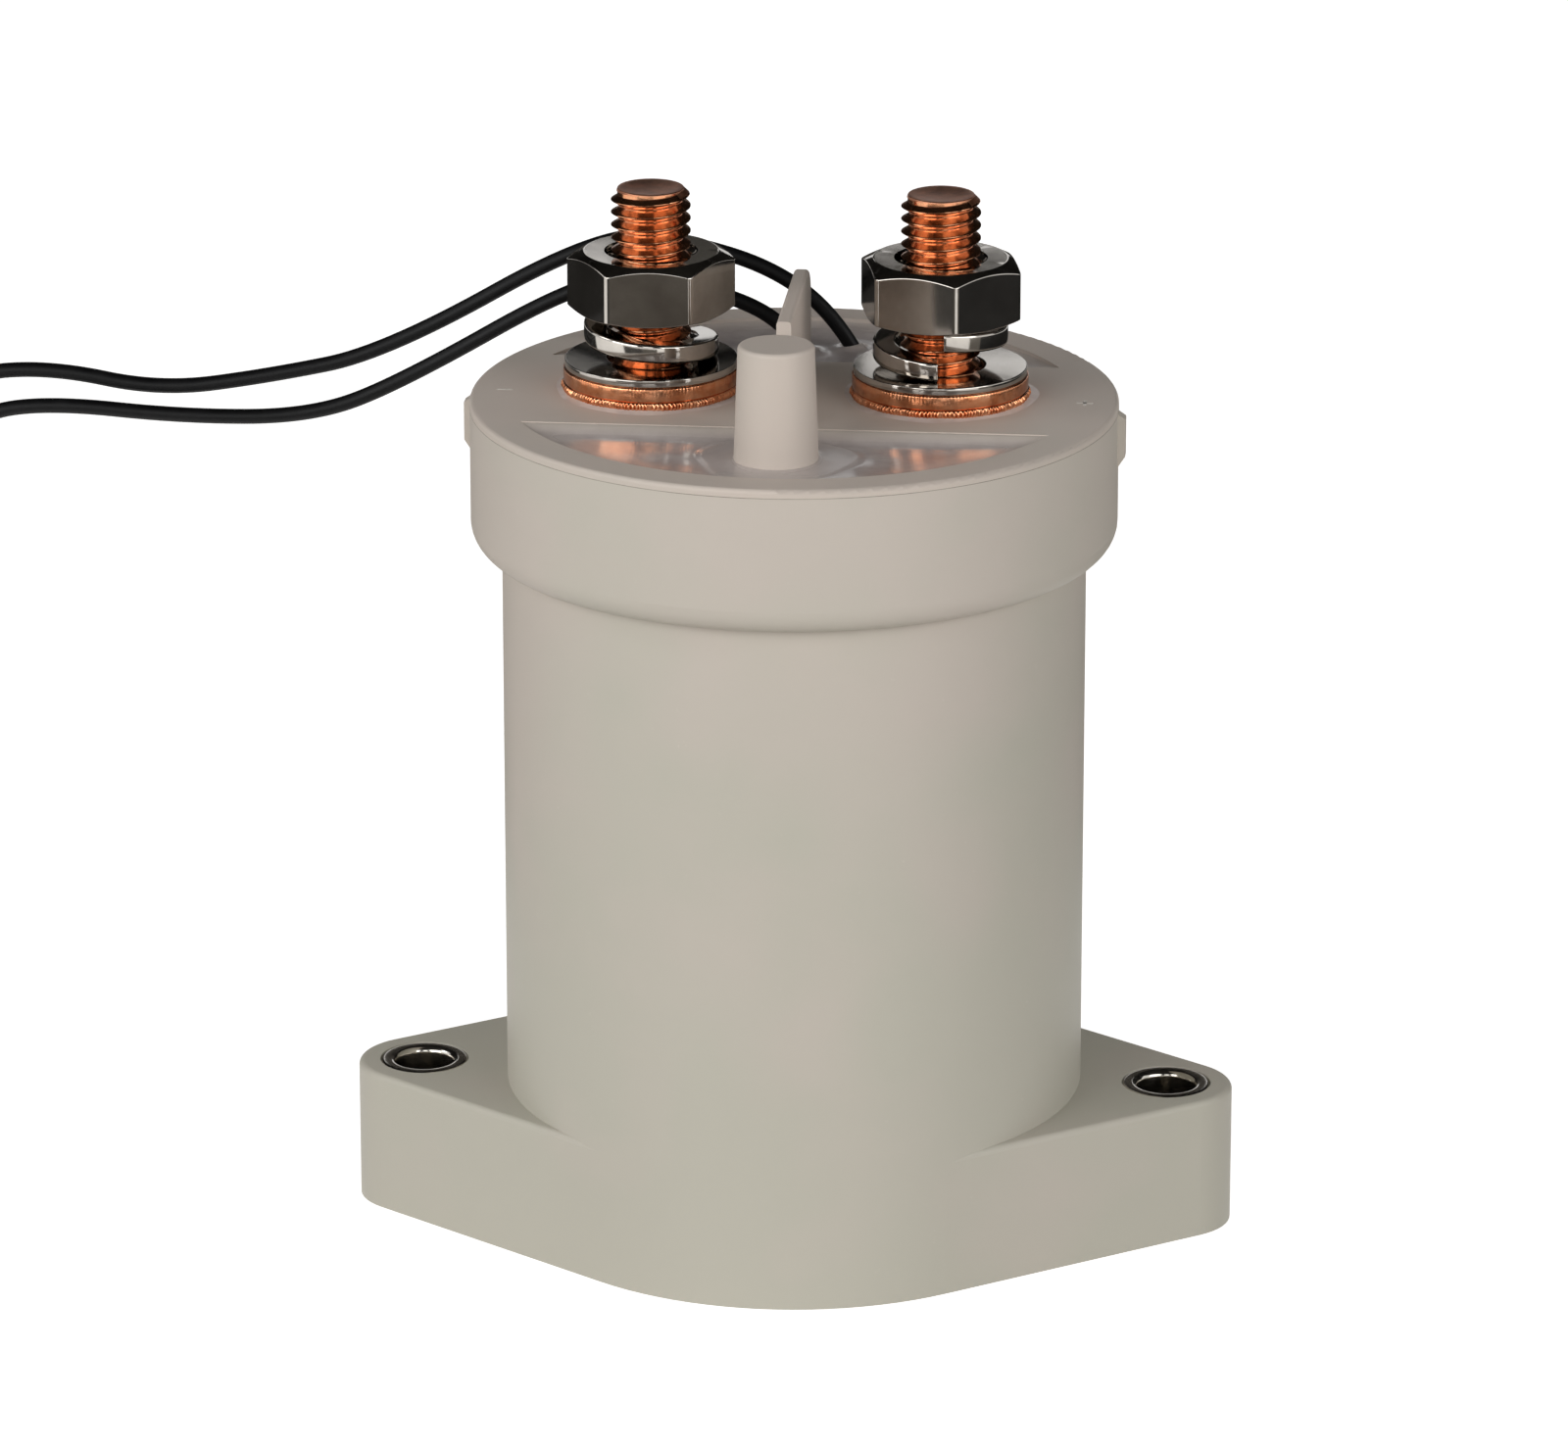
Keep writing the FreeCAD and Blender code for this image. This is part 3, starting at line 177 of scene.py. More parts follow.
def mouldedResin(part):
    # satin glass-filled moulding: 22 mm clouds of tint, painted shade that leaves it cooler and a little
    # darker towards the bottom and warmer towards the cover, 0.3 mm grain as spark erosion leaves it, rare
    # 1.6 mm scuffs
    material, tree, shader = newMaterial(part + " resin", {"Specular IOR Level": 0.35})
    clouds = marks(tree, resin["cloud"], 2.0, 0.5)
    # painted shade: cooler and darker low on the housing, fading out towards the cover
    low, high = resin["paintedShadeHeights"]
    upper = addNode(tree, "MapRange", {"Value": heightOf(tree), "From Min": low, "From Max": high})
    lean = addNode(tree, "Math", {0: clouds, 1: resin["cloudShare"]}, operation="MULTIPLY")
    lean = addNode(tree, "Math", {0: upper, 1: resin["paintedShadeShare"], 2: lean}, operation="MULTIPLY_ADD")
    tint = tinted(tree, lean, resin["tintFrom"], resin["tintTo"], resin[part]["cool"], resin[part]["warm"])
    plain = linearColour(resin[part]["plain"])
    base = addNode(tree, "Mix", {0: resin["tintShare"], 6: plain, 7: tint}, 2, data_type="RGBA")
    scuffs = addNode(tree, "MapRange", {
        "Value": marks(tree, resin["scuffSize"], 4.0, 0.7), "From Min": resin["scuffFrom"],
        "From Max": resin["scuffTo"], "To Max": resin["scuffShare"],
    })
    base = addNode(tree, "Mix", {0: scuffs, 6: base, 7: linearColour(resin["scuff"])}, 2, data_type="RGBA")
    low, high = resin["gloss"]
    roughness = addNode(tree, "MapRange", {"Value": clouds, "To Min": low, "To Max": high})
    tree.links.new(base, shader.inputs["Base Color"])
    tree.links.new(roughness, shader.inputs["Roughness"])
    raiseSurface(tree, shader, marks(tree, resin["grain"], 2.0), resin["grainDepth"], 0.6)
    raiseSurface(tree, shader, marks(tree, resin["wave"], 1.0), resin["waveDepth"], 0.25)
    return material


potting = {
    "colour": "b2a7a4", "milky": "c8bfbc", "deep": "988e8d", "wisp": 5 * mm, "wispShare": 0.6,
    "puddle": "bdb4b3", "puddleCentre": (0, -22.5 * mm), "puddleEdge": (7.6 * mm, 9.6 * mm),
    "puddleShare": 0.6, "wave": 6 * mm, "waveDepth": 0.05 * mm,
    "skin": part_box("housing")[1].z + 0.8 * mm, "skinFade": 1 * mm, "skinShare": 0.8,
    "gloss": (0.12, 0.5), "coat": (0.2, 0.0),
}


def pottingResin():
    # poured epoxy: lilac grey and wet, faint 6 mm waves, milky 5 mm wisps, a second paler pour round the cap,
    # duller and paler where it is drawn up thin
    sockets = {"Specular IOR Level": 0.38, "Coat Roughness": 0.06}
    material, tree, shader = newMaterial("potting resin", sockets)
    tint = tinted(tree, marks(tree, potting["wisp"], 5.0, 0.6), 0.35, 0.68, potting["deep"], potting["milky"])
    plain = linearColour(potting["colour"])
    base = addNode(tree, "Mix", {0: potting["wispShare"], 6: plain, 7: tint}, 2, data_type="RGBA")
    inside, outside = potting["puddleEdge"]
    pour = addNode(tree, "MapRange", {
        "Value": fromAxis(tree, potting["puddleCentre"]), "From Min": outside, "From Max": inside,
        "To Max": potting["puddleShare"],
    })
    base = addNode(tree, "Mix", {0: pour, 6: base, 7: linearColour(potting["puddle"])}, 2, data_type="RGBA")
    low, high = potting["skin"] - potting["skinFade"], potting["skin"]
    skin = addNode(tree, "MapRange", {"Value": heightOf(tree), "From Min": low, "From Max": high})
    share = addNode(tree, "Math", {0: skin, 1: potting["skinShare"]}, operation="MULTIPLY")
    pale = linearColour(resin["cover"]["plain"])
    base = addNode(tree, "Mix", {0: share, 6: base, 7: pale}, 2, data_type="RGBA")
    tree.links.new(base, shader.inputs["Base Color"])
    for socket, (low, high) in (("Roughness", potting["gloss"]), ("Coat Weight", potting["coat"])):
        amount = addNode(tree, "MapRange", {"Value": skin, "To Min": low, "To Max": high})
        tree.links.new(amount, shader.inputs[socket])
    raiseSurface(tree, shader, marks(tree, potting["wave"], 1.5, 0.4), potting["waveDepth"], 0.5)
    return material


copper = {
    "colour": "cb7a4e", "pale": "e5a780", "stain": 2.4 * mm, "gloss": (0.1, 0.24),
    "line": 0.11 * mm, "lineDepth": 0.005 * mm, "dent": 0.7 * mm, "dentDepth": 0.025 * mm,
    "bare": "d79c76", "bareShare": 0.6, "stud": 103.6 * mm, "studFade": 0.3 * mm,
    "bloom": "64382a", "bloomSize": 1.3 * mm, "bloomShare": (0.45, 0.6),
    "flash": (98.8 * mm, 98.5 * mm), "pit": 0.3 * mm, "pitDepth": 0.22 * mm,
}


def copperFinish():
    # drawn and rolled copper: bright flanks, 0.1 mm turning lines, soft 0.7 mm dents, brown bloom in 1.3 mm
    # patches and more of it on the stud, pits of 0.3 mm in the flash round the shoulder's foot
    material, tree, shader = newMaterial("copper", {"Metallic": 1.0})
    stain = marks(tree, copper["stain"], 4.0, 0.6)
    base = tinted(tree, stain, 0.3, 0.7, copper["colour"], copper["pale"])
    low, high = copper["stud"] - copper["studFade"], copper["stud"] + copper["studFade"]
    onStud = addNode(tree, "MapRange", {"Value": heightOf(tree), "From Min": low, "From Max": high})
    share = addNode(tree, "Math", {0: onStud, 1: copper["bareShare"]}, operation="MULTIPLY")
    base = addNode(tree, "Mix", {0: share, 6: base, 7: linearColour(copper["bare"])}, 2, data_type="RGBA")
    patches = marks(tree, copper["bloomSize"], 3.0, 0.65)
    bloom = addNode(tree, "MapRange", {"Value": patches, "From Min": 0.5, "From Max": 0.74})
    low, high = copper["bloomShare"]
    share = addNode(tree, "MapRange", {"Value": onStud, "To Min": low, "To Max": high})
    bloom = addNode(tree, "Math", {0: bloom, 1: share}, operation="MULTIPLY")
    base = addNode(tree, "Mix", {0: bloom, 6: base, 7: linearColour(copper["bloom"])}, 2, data_type="RGBA")
    low, high = copper["gloss"]
    roughness = addNode(tree, "MapRange", {"Value": stain, "To Min": low, "To Max": high})
    tree.links.new(base, shader.inputs["Base Color"])
    tree.links.new(roughness, shader.inputs["Roughness"])
    lines = marks(tree, copper["line"], 2.0, 0.5, (0.15, 0.15, 1))
    raiseSurface(tree, shader, lines, copper["lineDepth"], 0.5)
    raiseSurface(tree, shader, marks(tree, copper["dent"], 2.0), copper["dentDepth"], 0.5)
    high, low = copper["flash"]
    flash = addNode(tree, "MapRange", {"Value": heightOf(tree), "From Min": high, "From Max": low})
    pits = addNode(tree, "Math", {0: marks(tree, copper["pit"], 2.0, 0.5), 1: flash}, operation="MULTIPLY")
    raiseSurface(tree, shader, pits, copper["pitDepth"], 0.8)
    return material


iron = {"crystal": 1.5 * mm, "haze": 4 * mm, "gloss": (0.3, 0.48), "press": 0.3 * mm, "pressDepth": 0.01 * mm}


def softIron():
    # pressed magnetic iron: zinc-grey, 1.5 mm crystal mottling, fine press marks
    material, tree, shader = newMaterial("soft iron", {"Metallic": 1.0})
    settings = {"Vector": objectPoint(tree), "Scale": 1 / iron["crystal"]}
    crystals = addNode(tree, "TexVoronoi", settings, "Distance")
    low, high = iron["gloss"]
    roughness = addNode(tree, "MapRange", {"Value": marks(tree, iron["haze"]), "To Min": low, "To Max": high})
    tree.links.new(tinted(tree, crystals, 0.1, 0.8, "8d8f90", "a3a4a3"), shader.inputs["Base Color"])
    tree.links.new(roughness, shader.inputs["Roughness"])
    raiseSurface(tree, shader, marks(tree, iron["press"]), iron["pressDepth"], 0.5)
    return material


wire = {"pitch": 0.35 * mm, "ridge": 0.08 * mm, "varnish": 3 * mm, "gloss": (0.25, 0.4)}


def enamelledWire():
    # coil of 0.35 mm enamelled wire: one ridge per turn, amber varnish over copper
    sockets = {"Metallic": 1.0, "Coat Weight": 0.7, "Coat Roughness": 0.12}
    material, tree, shader = newMaterial("enamelled wire", sockets)
    phase = addNode(tree, "Math", {0: heightOf(tree), 1: fullTurn / wire["pitch"]}, operation="MULTIPLY")
    turns = addNode(tree, "Math", {0: phase}, operation="SINE")
    varnish = marks(tree, wire["varnish"])
    low, high = wire["gloss"]
    roughness = addNode(tree, "MapRange", {"Value": varnish, "To Min": low, "To Max": high})
    tree.links.new(tinted(tree, varnish, 0.3, 0.7, "8a4526", "b0643a"), shader.inputs["Base Color"])
    tree.links.new(roughness, shader.inputs["Roughness"])
    raiseSurface(tree, shader, turns, wire["ridge"], 0.8)
    return material


# Finishes that patches tint and dull. Patches, glossPatches and the first value of a relief are what marks
# takes. Tones say where two colours start, gloss is the roughness from end to end, and a relief ends with its
# height in metres and its strength.

patchyFinishes = {
    # turned and tarnished end of the stud: dull brown copper in 1.8 mm patches
    "stud end copper": {
        "sockets": {"Metallic": 1.0}, "patches": (1.8 * mm, 4.0, 0.65),
        "tones": (0.3, 0.72, "a06a50", "d29678"), "gloss": (0.3, 0.5),
        "reliefs": [((0.25 * mm, 3.0, 0.5, (0.2, 1, 1)), 0.01 * mm, 0.5)],
    },
    # mirror-finished stainless: 0.08 mm rolling lines, greasy 6 mm smudges that dull it here and there
    "polished steel": {
        "sockets": {"Metallic": 1.0}, "patches": (6 * mm, 4.0, 0.6), "tones": (0.3, 0.7, "a19b94", "bdb8b1"),
        "gloss": (0.04, 0.13),
        "reliefs": [((0.08 * mm, 2.0, 0.5, (1, 1, 0.08)), 0.003 * mm, 0.4), ((4 * mm, 1.0), 0.014 * mm, 0.3)],
    },
    # hardened spring wire: blue-grey, drawn along its length, thin film of oil
    "spring steel": {
        "sockets": {"Metallic": 1.0}, "patches": (2.5 * mm, 3.0), "tones": (0.35, 0.7, "84827f", "a5a39f"),
        "gloss": (0.2, 0.38), "reliefs": [((0.12 * mm, 2.0), 0.004 * mm, 0.5)],
    },
    # bright nickel on turned brass: faint 0.15 mm turning rings, soft 3 mm haze
    "nickel plate": {
        "sockets": {"Metallic": 1.0}, "patches": (3 * mm, 3.0), "tones": (0.35, 0.7, "b9b4ab", "d8d4cc"),
        "gloss": (0.08, 0.2), "reliefs": [((0.15 * mm, 2.0, 0.5, (0.1, 0.1, 1)), 0.004 * mm, 0.5)],
    },
    # tinned strands: soft white metal, slightly dull
    "tinned copper": {
        "sockets": {"Metallic": 1.0}, "patches": (0.8 * mm, 3.0), "tones": (0.35, 0.7, "b4b4b0", "d2d2cd"),
        "gloss": (0.24, 0.42), "reliefs": [((0.8 * mm, 3.0), 0.01 * mm, 0.4)],
    },
    # resin squeezed out at the copper: pale, satin, a little uneven every 3 mm
    "bead resin": {
        "sockets": {"Roughness": 0.42, "Coat Weight": 0.1}, "patches": (3 * mm, 2.0),
        "tones": (0.35, 0.7, "c4b9b2", "dcd4cf"), "reliefs": [((3 * mm, 2.0), 0.1 * mm, 0.4)],
    },
    # sintered ferrite: charcoal, dry, 0.2 mm grains with a few chips
    "ferrite": {
        "sockets": {"Specular IOR Level": 0.4}, "patches": (0.2 * mm, 4.0, 0.6),
        "tones": (0.3, 0.7, "2e2e30", "48484a"), "gloss": (0.5, 0.75), "glossPatches": (3 * mm, 3.0),
        "reliefs": [((0.2 * mm, 4.0, 0.6), 0.03 * mm, 0.6)],
    },
    # fired ceramic: warm white, eggshell gloss, 0.4 mm granular skin
    "alumina": {
        "sockets": {"Subsurface Weight": 0.1, "Subsurface Scale": 0.4 * mm}, "patches": (8 * mm, 3.0),
        "tones": (0.35, 0.65, "e6e1d7", "f0ece4"), "gloss": (0.4, 0.55), "glossPatches": (0.4 * mm, 3.0),
        "reliefs": [((0.4 * mm, 3.0), 0.01 * mm, 0.5)],
    },
    # extruded black sheath: satin, faint 1.2 mm draw rings and dusty scuffs
    "black insulation": {
        "sockets": {"Specular IOR Level": 0.22}, "patches": (3 * mm, 5.0, 0.65),
        "tones": (0.45, 0.8, "050506", "101011"), "gloss": (0.4, 0.6),
        "reliefs": [((1.2 * mm, 2.0), 0.03 * mm, 0.5)],
    },
    # moulded rubber: near black, chalky bloom in 2 mm patches
    "bumper rubber": {
        "sockets": {"Specular IOR Level": 0.35}, "patches": (2 * mm, 4.0),
        "tones": (0.4, 0.75, "1c1c1d", "333334"), "gloss": (0.6, 0.8),
        "reliefs": [((0.3 * mm, 3.0), 0.02 * mm, 0.5)],
    },
    # natural nylon: ivory, a little light passes through its thin walls
    "bobbin nylon": {
        "sockets": {"Subsurface Weight": 0.2, "Subsurface Scale": 1 * mm},
        "patches": (6 * mm, 2.0, 0.5, (1, 1, 0.3)), "tones": (0.35, 0.7, "ddd8c8", "ebe7da"),
        "gloss": (0.35, 0.5), "reliefs": [((0.4 * mm, 3.0), 0.01 * mm, 0.4)],
    },
    # pressed fibre board: buff, matt, 1 mm fibres lying flat
    "insulating board": {
        "sockets": {"Specular IOR Level": 0.25}, "patches": (1 * mm, 4.0, 0.6, (1, 0.25, 1)),
        "tones": (0.3, 0.7, "bfb396", "d6cdb4"), "gloss": (0.7, 0.85),
        "reliefs": [((1 * mm, 4.0, 0.6, (1, 0.25, 1)), 0.02 * mm, 0.5)],
    },
    # thin glue line under the cover's rim, its dark tone painted shade of the joint
    "seam line": {
        "sockets": {"Roughness": 0.7}, "patches": (5 * mm, 3.0), "tones": (0.35, 0.7, "8d857a", "a59d91"),
    },
    # pad-printed polarity signs: thin off-white ink with worn gaps
    "mark paint": {
        "sockets": {"Roughness": 0.5}, "patches": (0.4 * mm, 3.0), "tones": (0.4, 0.6, "cbc4bb", "e6e1d9"),
    },
}


def patchyFinish(name, sockets, patches, tones, gloss=None, glossPatches=None, reliefs=()):
    material, tree, shader = newMaterial(name, sockets)
    tree.links.new(tinted(tree, marks(tree, *patches), *tones), shader.inputs["Base Color"])
    if gloss:
        dulled = {"Value": marks(tree, *(glossPatches or patches)), "To Min": gloss[0], "To Max": gloss[1]}
        tree.links.new(addNode(tree, "MapRange", dulled), shader.inputs["Roughness"])
    for pattern, height, strength in reliefs:
        raiseSurface(tree, shader, marks(tree, *pattern), height, strength)
    return material


finish = {name.replace(" ", "_"): patchyFinish(name, **facts) for name, facts in patchyFinishes.items()}
finish.update({
    "housing_resin": mouldedResin("housing"), "cover_resin": mouldedResin("cover"),
    "potting_resin": pottingResin(), "copper": copperFinish(), "soft_iron": softIron(),
    "enamelled_wire": enamelledWire(),
    "stainless_steel": finish["polished_steel"], "magnet_ferrite": finish["ferrite"],
})

for part in frame["record"]["subparts"]:
    node = bpy.data.objects[part["node"]]
    for place in range(len(node.material_slots)):
        node.material_slots[place].material = finish[part["material_slot"]]
    if not node.material_slots:
        node.data.materials.append(finish[part["material_slot"]])
print("finishes made:", len(bpy.data.materials))


# Leads: the same routes as the solids, as one smooth spline each

leadRoutes = {
    "lead_upper": [
        (4.9, 24.0, 98.7), (2.3, 24.0, 103.2), (-4.5, 24.1, 108.3), (-13.5, 24.2, 111.1),
        (-24.5, 24.2, 112.6), (-50.8, 24.0, 96.9), (-65.0, 24.0, 93.6), (-78.0, 24.0, 91.5),
        (-91.0, 24.0, 94.0), (-101.5, 23.8, 93.0), (-110.0, 23.4, 86.0), (-113.3, 23.2, 74.5),
        (-114.2, 22.6, 59.0), (-114.0, 21.6, 43.5), (-114.6, 20.4, 28.0), (-115.0, 17.2, 13.5),
        (-115.4, 10.0, 3.4), (-115.8, 1.0, 0.95), (-116.4, -9.0, 0.95), (-119.5, -17.5, 0.95),
        (-127.5, -21.0, 0.95), (-135.5, -17.5, 0.95), (-138.5, -9.5, 0.95), (-139.0, 0.0, 0.95),
        (-138.6, 9.7, 0.95), (-137.2, 19.0, 0.95),
    ],
    "lead_lower": [
        (-0.4, 22.0, 98.7), (-3.0, 22.0, 102.0), (-8.2, 22.0, 105.1), (-16.5, 21.9, 107.0),
        (-25.8, 21.8, 107.8), (-49.5, 22.0, 93.4), (-60.0, 22.0, 89.3), (-75.0, 22.0, 88.9),
        (-91.0, 22.0, 90.2), (-100.0, 21.8, 88.6), (-107.3, 21.4, 82.0), (-110.3, 21.0, 71.5),
        (-111.0, 20.4, 57.0), (-110.9, 19.4, 42.5), (-111.4, 18.0, 28.0), (-111.8, 14.6, 13.8),
        (-112.2, 7.4, 3.6), (-112.6, -1.5, 0.95), (-113.2, -11.5, 0.95), (-117.0, -20.5, 0.95),
        (-126.5, -24.6, 0.95), (-136.5, -21.0, 0.95), (-141.0, -12.0, 0.95), (-141.8, -1.5, 0.95),
        (-141.5, 7.6, 0.95), (-140.4, 16.5, 0.95), (-138.2, 25.0, 0.95),
    ],
}
lead = {"radius": 0.9 * mm, "round": 5, "resolution": 14,
        "length": {"lead_upper": 0.2928, "lead_lower": 0.2932}}
strand = {"count": 7, "radius": 0.16 * mm, "apart": 2.1, "lay": 6 * mm, "tuck": 1 * mm, "past": 0.6 * mm,
          "sides": 8, "steps": 28}


def makeLead(node):
    curve = bpy.data.curves.new(node + "_cord", "CURVE")
    curve.dimensions = "3D"
    curve.bevel_depth = lead["radius"]
    curve.bevel_resolution = lead["round"]
    curve.use_fill_caps = True
    spline = curve.splines.new("NURBS")
    route = [Vector(point) * mm for point in leadRoutes[node]]
    spline.points.add(len(route) - 1)
    for control, point in zip(spline.points, route):
        control.co = (*point, 1)
    spline.order_u = 3
    spline.use_endpoint_u = True
    spline.resolution_u = lead["resolution"]
    piece = bpy.data.objects.new(node + "_cord", curve)
    bpy.context.collection.objects.link(piece)
    curve.materials.append(finish["black_insulation"])
    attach(piece, "case")
    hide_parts(node)
    return piece, route


def finished(name, mesh, body, slot, sharpAngle, materials=None, flatFaces=False):
    bmesh.ops.remove_doubles(mesh, verts=mesh.verts, dist=0.001 * mm)
    bmesh.ops.recalc_face_normals(mesh, faces=mesh.faces)
    data = bpy.data.meshes.new(name)
    mesh.to_mesh(data)
    mesh.free()
    for material in materials or [finish[slot]]:
        data.materials.append(material)
    data.polygons.foreach_set("use_smooth", [True] * len(data.polygons))
    data.set_sharp_from_angle(angle=math.radians(sharpAngle))
    piece = bpy.data.objects.new(name, data)
    bpy.context.collection.objects.link(piece)
    if flatFaces:  # broad faces stay flat up to the small rounds beside them
        evened = piece.modifiers.new("flat faces", "WEIGHTED_NORMAL")
        evened.keep_sharp = True
        evened.weight = 100
    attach(piece, body)
    return piece


def chain(mesh, points, closed=False):  # a line of edges through points
    verts = [mesh.verts.new(point) for point in points]
    pairs = list(zip(verts, verts[1:])) + ([(verts[-1], verts[0])] if closed else [])
    return verts + [mesh.edges.new(pair) for pair in pairs]


def turned(mesh, centre, outline, steps, closed=True):  # outline as (radius, height) about an upright axis
    geometry = chain(mesh, [(centre[0] + r, centre[1], z) for r, z in outline], closed)
    before = set(mesh.verts)
    bmesh.ops.spin(mesh, geom=geometry, cent=(centre[0], centre[1], 0), axis=(0, 0, 1),
                   dvec=(0, 0, 0), angle=fullTurn, steps=steps, use_merge=True, use_duplicate=False)
    own = [v for v in mesh.verts if v not in before]
    return own + [g for g in geometry if isinstance(g, bmesh.types.BMVert)]


def polar(vert, centre):
    x, y = vert.co.x - centre[0], vert.co.y - centre[1]
    return math.hypot(x, y), math.atan2(y, x)


def setPolar(vert, centre, radius, angle, height=None):
    z = vert.co.z if height is None else height
    vert.co = (centre[0] + radius * math.cos(angle), centre[1] + radius * math.sin(angle), z)


def centreOf(node):
    low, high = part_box(node)
    return (low.x + high.x) / 2, (low.y + high.y) / 2


def roundCorner(centre, radius, start, sweep, steps):  # an arc's points in an outline
    return [(centre[0] + radius * math.cos(start + sweep * i / steps),
             centre[1] + radius * math.sin(start + sweep * i / steps)) for i in range(steps + 1)]


def waves(angle, parts):  # uneven as given: each part's height, how many waves in a full turn, and its shift
    return sum(height * math.sin(count * angle + shift) for height, count, shift in parts)


def roundedBlock(inner, outer, low, high, radius, steps=4):  # ring section with rounded corners
    return (roundCorner((outer - radius, low + radius), radius, -quarter, quarter, steps)
            + roundCorner((outer - radius, high - radius), radius, 0, quarter, steps)
            + roundCorner((inner + radius, high - radius), radius, quarter, quarter, steps)
            + roundCorner((inner + radius, low + radius), radius, 2 * quarter, quarter, steps))


def makeStrands(node, route):  # bare end: a twist of tinned strands past the sheath
    start = route[-1]
    along = (route[-1] - route[-2]).normalized()
    side = along.cross(Vector((0, 0, 1))).normalized()
    up = side.cross(along)
    low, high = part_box(node + "_end")
    reach = max((high - start).dot(along), (low - start).dot(along), abs((high - low).dot(along)))
    mesh = bmesh.new()
    for number in range(strand["count"]):
        offset = 0 if number == 0 else strand["apart"] * strand["radius"]
        phase = fullTurn * number / (strand["count"] - 1)
        rings = []
        for step in range(strand["steps"] + 1):
            far = -strand["tuck"] + (reach + strand["past"]) * step / strand["steps"]
            turn = phase + fullTurn * far / strand["lay"]
            middle = start + along * far + (side * math.cos(turn) + up * math.sin(turn)) * offset
            ring = [mesh.verts.new(middle + (side * math.cos(a) + up * math.sin(a)) * strand["radius"])
                    for a in (fullTurn * k / strand["sides"] for k in range(strand["sides"]))]
            edges = [mesh.edges.new((ring[k - 1], ring[k])) for k in range(strand["sides"])]
            if rings:
                bmesh.ops.bridge_loops(mesh, edges=rings[-1] + edges)
            rings.append(edges)
        bmesh.ops.holes_fill(mesh, edges=rings[0] + rings[-1], sides=strand["sides"])
    piece = finished(node + "_strands", mesh, "case", "tinned_copper", 50)
    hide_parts(node + "_end")
    return piece


for node in leadRoutes:
    cord, route = makeLead(node)
    strands = makeStrands(node, route)
print("leads laid")


# Terminals: threaded copper studs on round shoulders

thread = {"crest": 4.6 * mm, "root": 3.72 * mm, "pitch": 1.5 * mm, "steps": 96, "chamfer": 0.85 * mm}
threadProfile = (  # share of the pitch, share of the depth: a rounded root, steep flanks, a small flat crest
    (0.0, 0.0), (0.12, 0.03), (0.26, 0.25), (0.48, 0.9), (0.53, 1.0), (0.58, 1.0), (0.63, 0.9), (0.86, 0.25),
)
stud = {"dishFloor": 2.3 * mm, "dishRim": 3.2 * mm, "dishDepth": 0.2 * mm, "rimDrop": 0.02 * mm,
        "end": 3.86 * mm, "endEdge": 0.12 * mm, "tarnish": 0.7 * mm, "below": 0.8 * mm, "sunk": 0.4 * mm}
shoulder = {"radius": 10.2 * mm, "post": 7.0 * mm, "foot": 97.0 * mm, "top": 102.8 * mm, "edge": 0.3 * mm,
            "steps": 900, "beads": 150, "beadDepth": 0.4 * mm, "beadWander": ((0.9, 7, 0), (0.6, 17, 1)),
            "groove": 1.08, "grooveWidth": 0.07, "dents": 0.03 * mm, "dentsFrom": 2.3, "dentsGrow": 0.3,
            "inwards": 0.3 * mm}
shoulderRings = (-0.9, -0.1, 0.04, 0.15, 0.26, 0.37, 0.48, 0.59, 0.7, 0.81, 0.92, 1.0, 1.08, 1.18, 1.4, 1.9)
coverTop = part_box("housing")[1].z + 1.0 * mm  # the cover's rim stands 1 mm over the housing


def addThread(mesh, centre, root, crest, pitch, low, high, steps):
    # one turn of ridges screwed up by a pitch, so that each start meets the ridge above, then cut level
    points = []
    for ridge in range(math.ceil((high - low) / pitch) + 3):
        for share, rise in threadProfile:
            reach = centre[0] + root + rise * (crest - root)
            points.append((reach, centre[1], low + (ridge - 1.6 + share) * pitch))
    verts = [mesh.verts.new(point) for point in points]
    edges = [mesh.edges.new(pair) for pair in zip(verts, verts[1:])]
    before = set(mesh.verts) - set(verts)
    bmesh.ops.spin(mesh, geom=verts + edges, cent=(centre[0], centre[1], 0), axis=(0, 0, 1),
                   dvec=(0, 0, pitch / steps), angle=fullTurn, steps=steps, use_duplicate=False)
    own = [v for v in mesh.verts if v not in before]
    bmesh.ops.remove_doubles(mesh, verts=own, dist=0.002 * mm)
    for height, side in ((low, "clear_inner"), (high, "clear_outer")):
        own = [v for v in mesh.verts if v not in before]
        geometry = own + list({e for v in own for e in v.link_edges} | {f for v in own for f in v.link_faces})
        bmesh.ops.bisect_plane(mesh, geom=geometry, plane_co=(0, 0, height), plane_no=(0, 0, 1),
                               dist=0.0001 * mm, **{side: True})
    return [v for v in mesh.verts if v not in before]


def shoulderRelief(angle, lift):
    # lower edge run into a row of uneven beads, a groove over it, a dented top edge; lift in mm over the rim
    wander = waves(angle, shoulder["beadWander"]) + 0.5 * math.sin(29 * angle + 2) * lift
    size = (0.6 + 0.4 * math.sin(37 * angle) * math.sin(23 * angle + 1)) * math.sin(math.pi * min(1, lift))
    relief = shoulder["beadDepth"] * size * (abs(math.cos(shoulder["beads"] / 2 * angle + wander)) - 0.15)
    fromGroove = (lift - shoulder["groove"]) / shoulder["grooveWidth"]
    relief -= 0.4 * shoulder["beadDepth"] * math.exp(-fromGroove ** 2)
    over = min(1, max(0, lift - shoulder["dentsFrom"]) / shoulder["dentsGrow"])
    return relief + shoulder["dents"] * over * math.sin(97 * angle) * math.sin(61 * angle + 1)


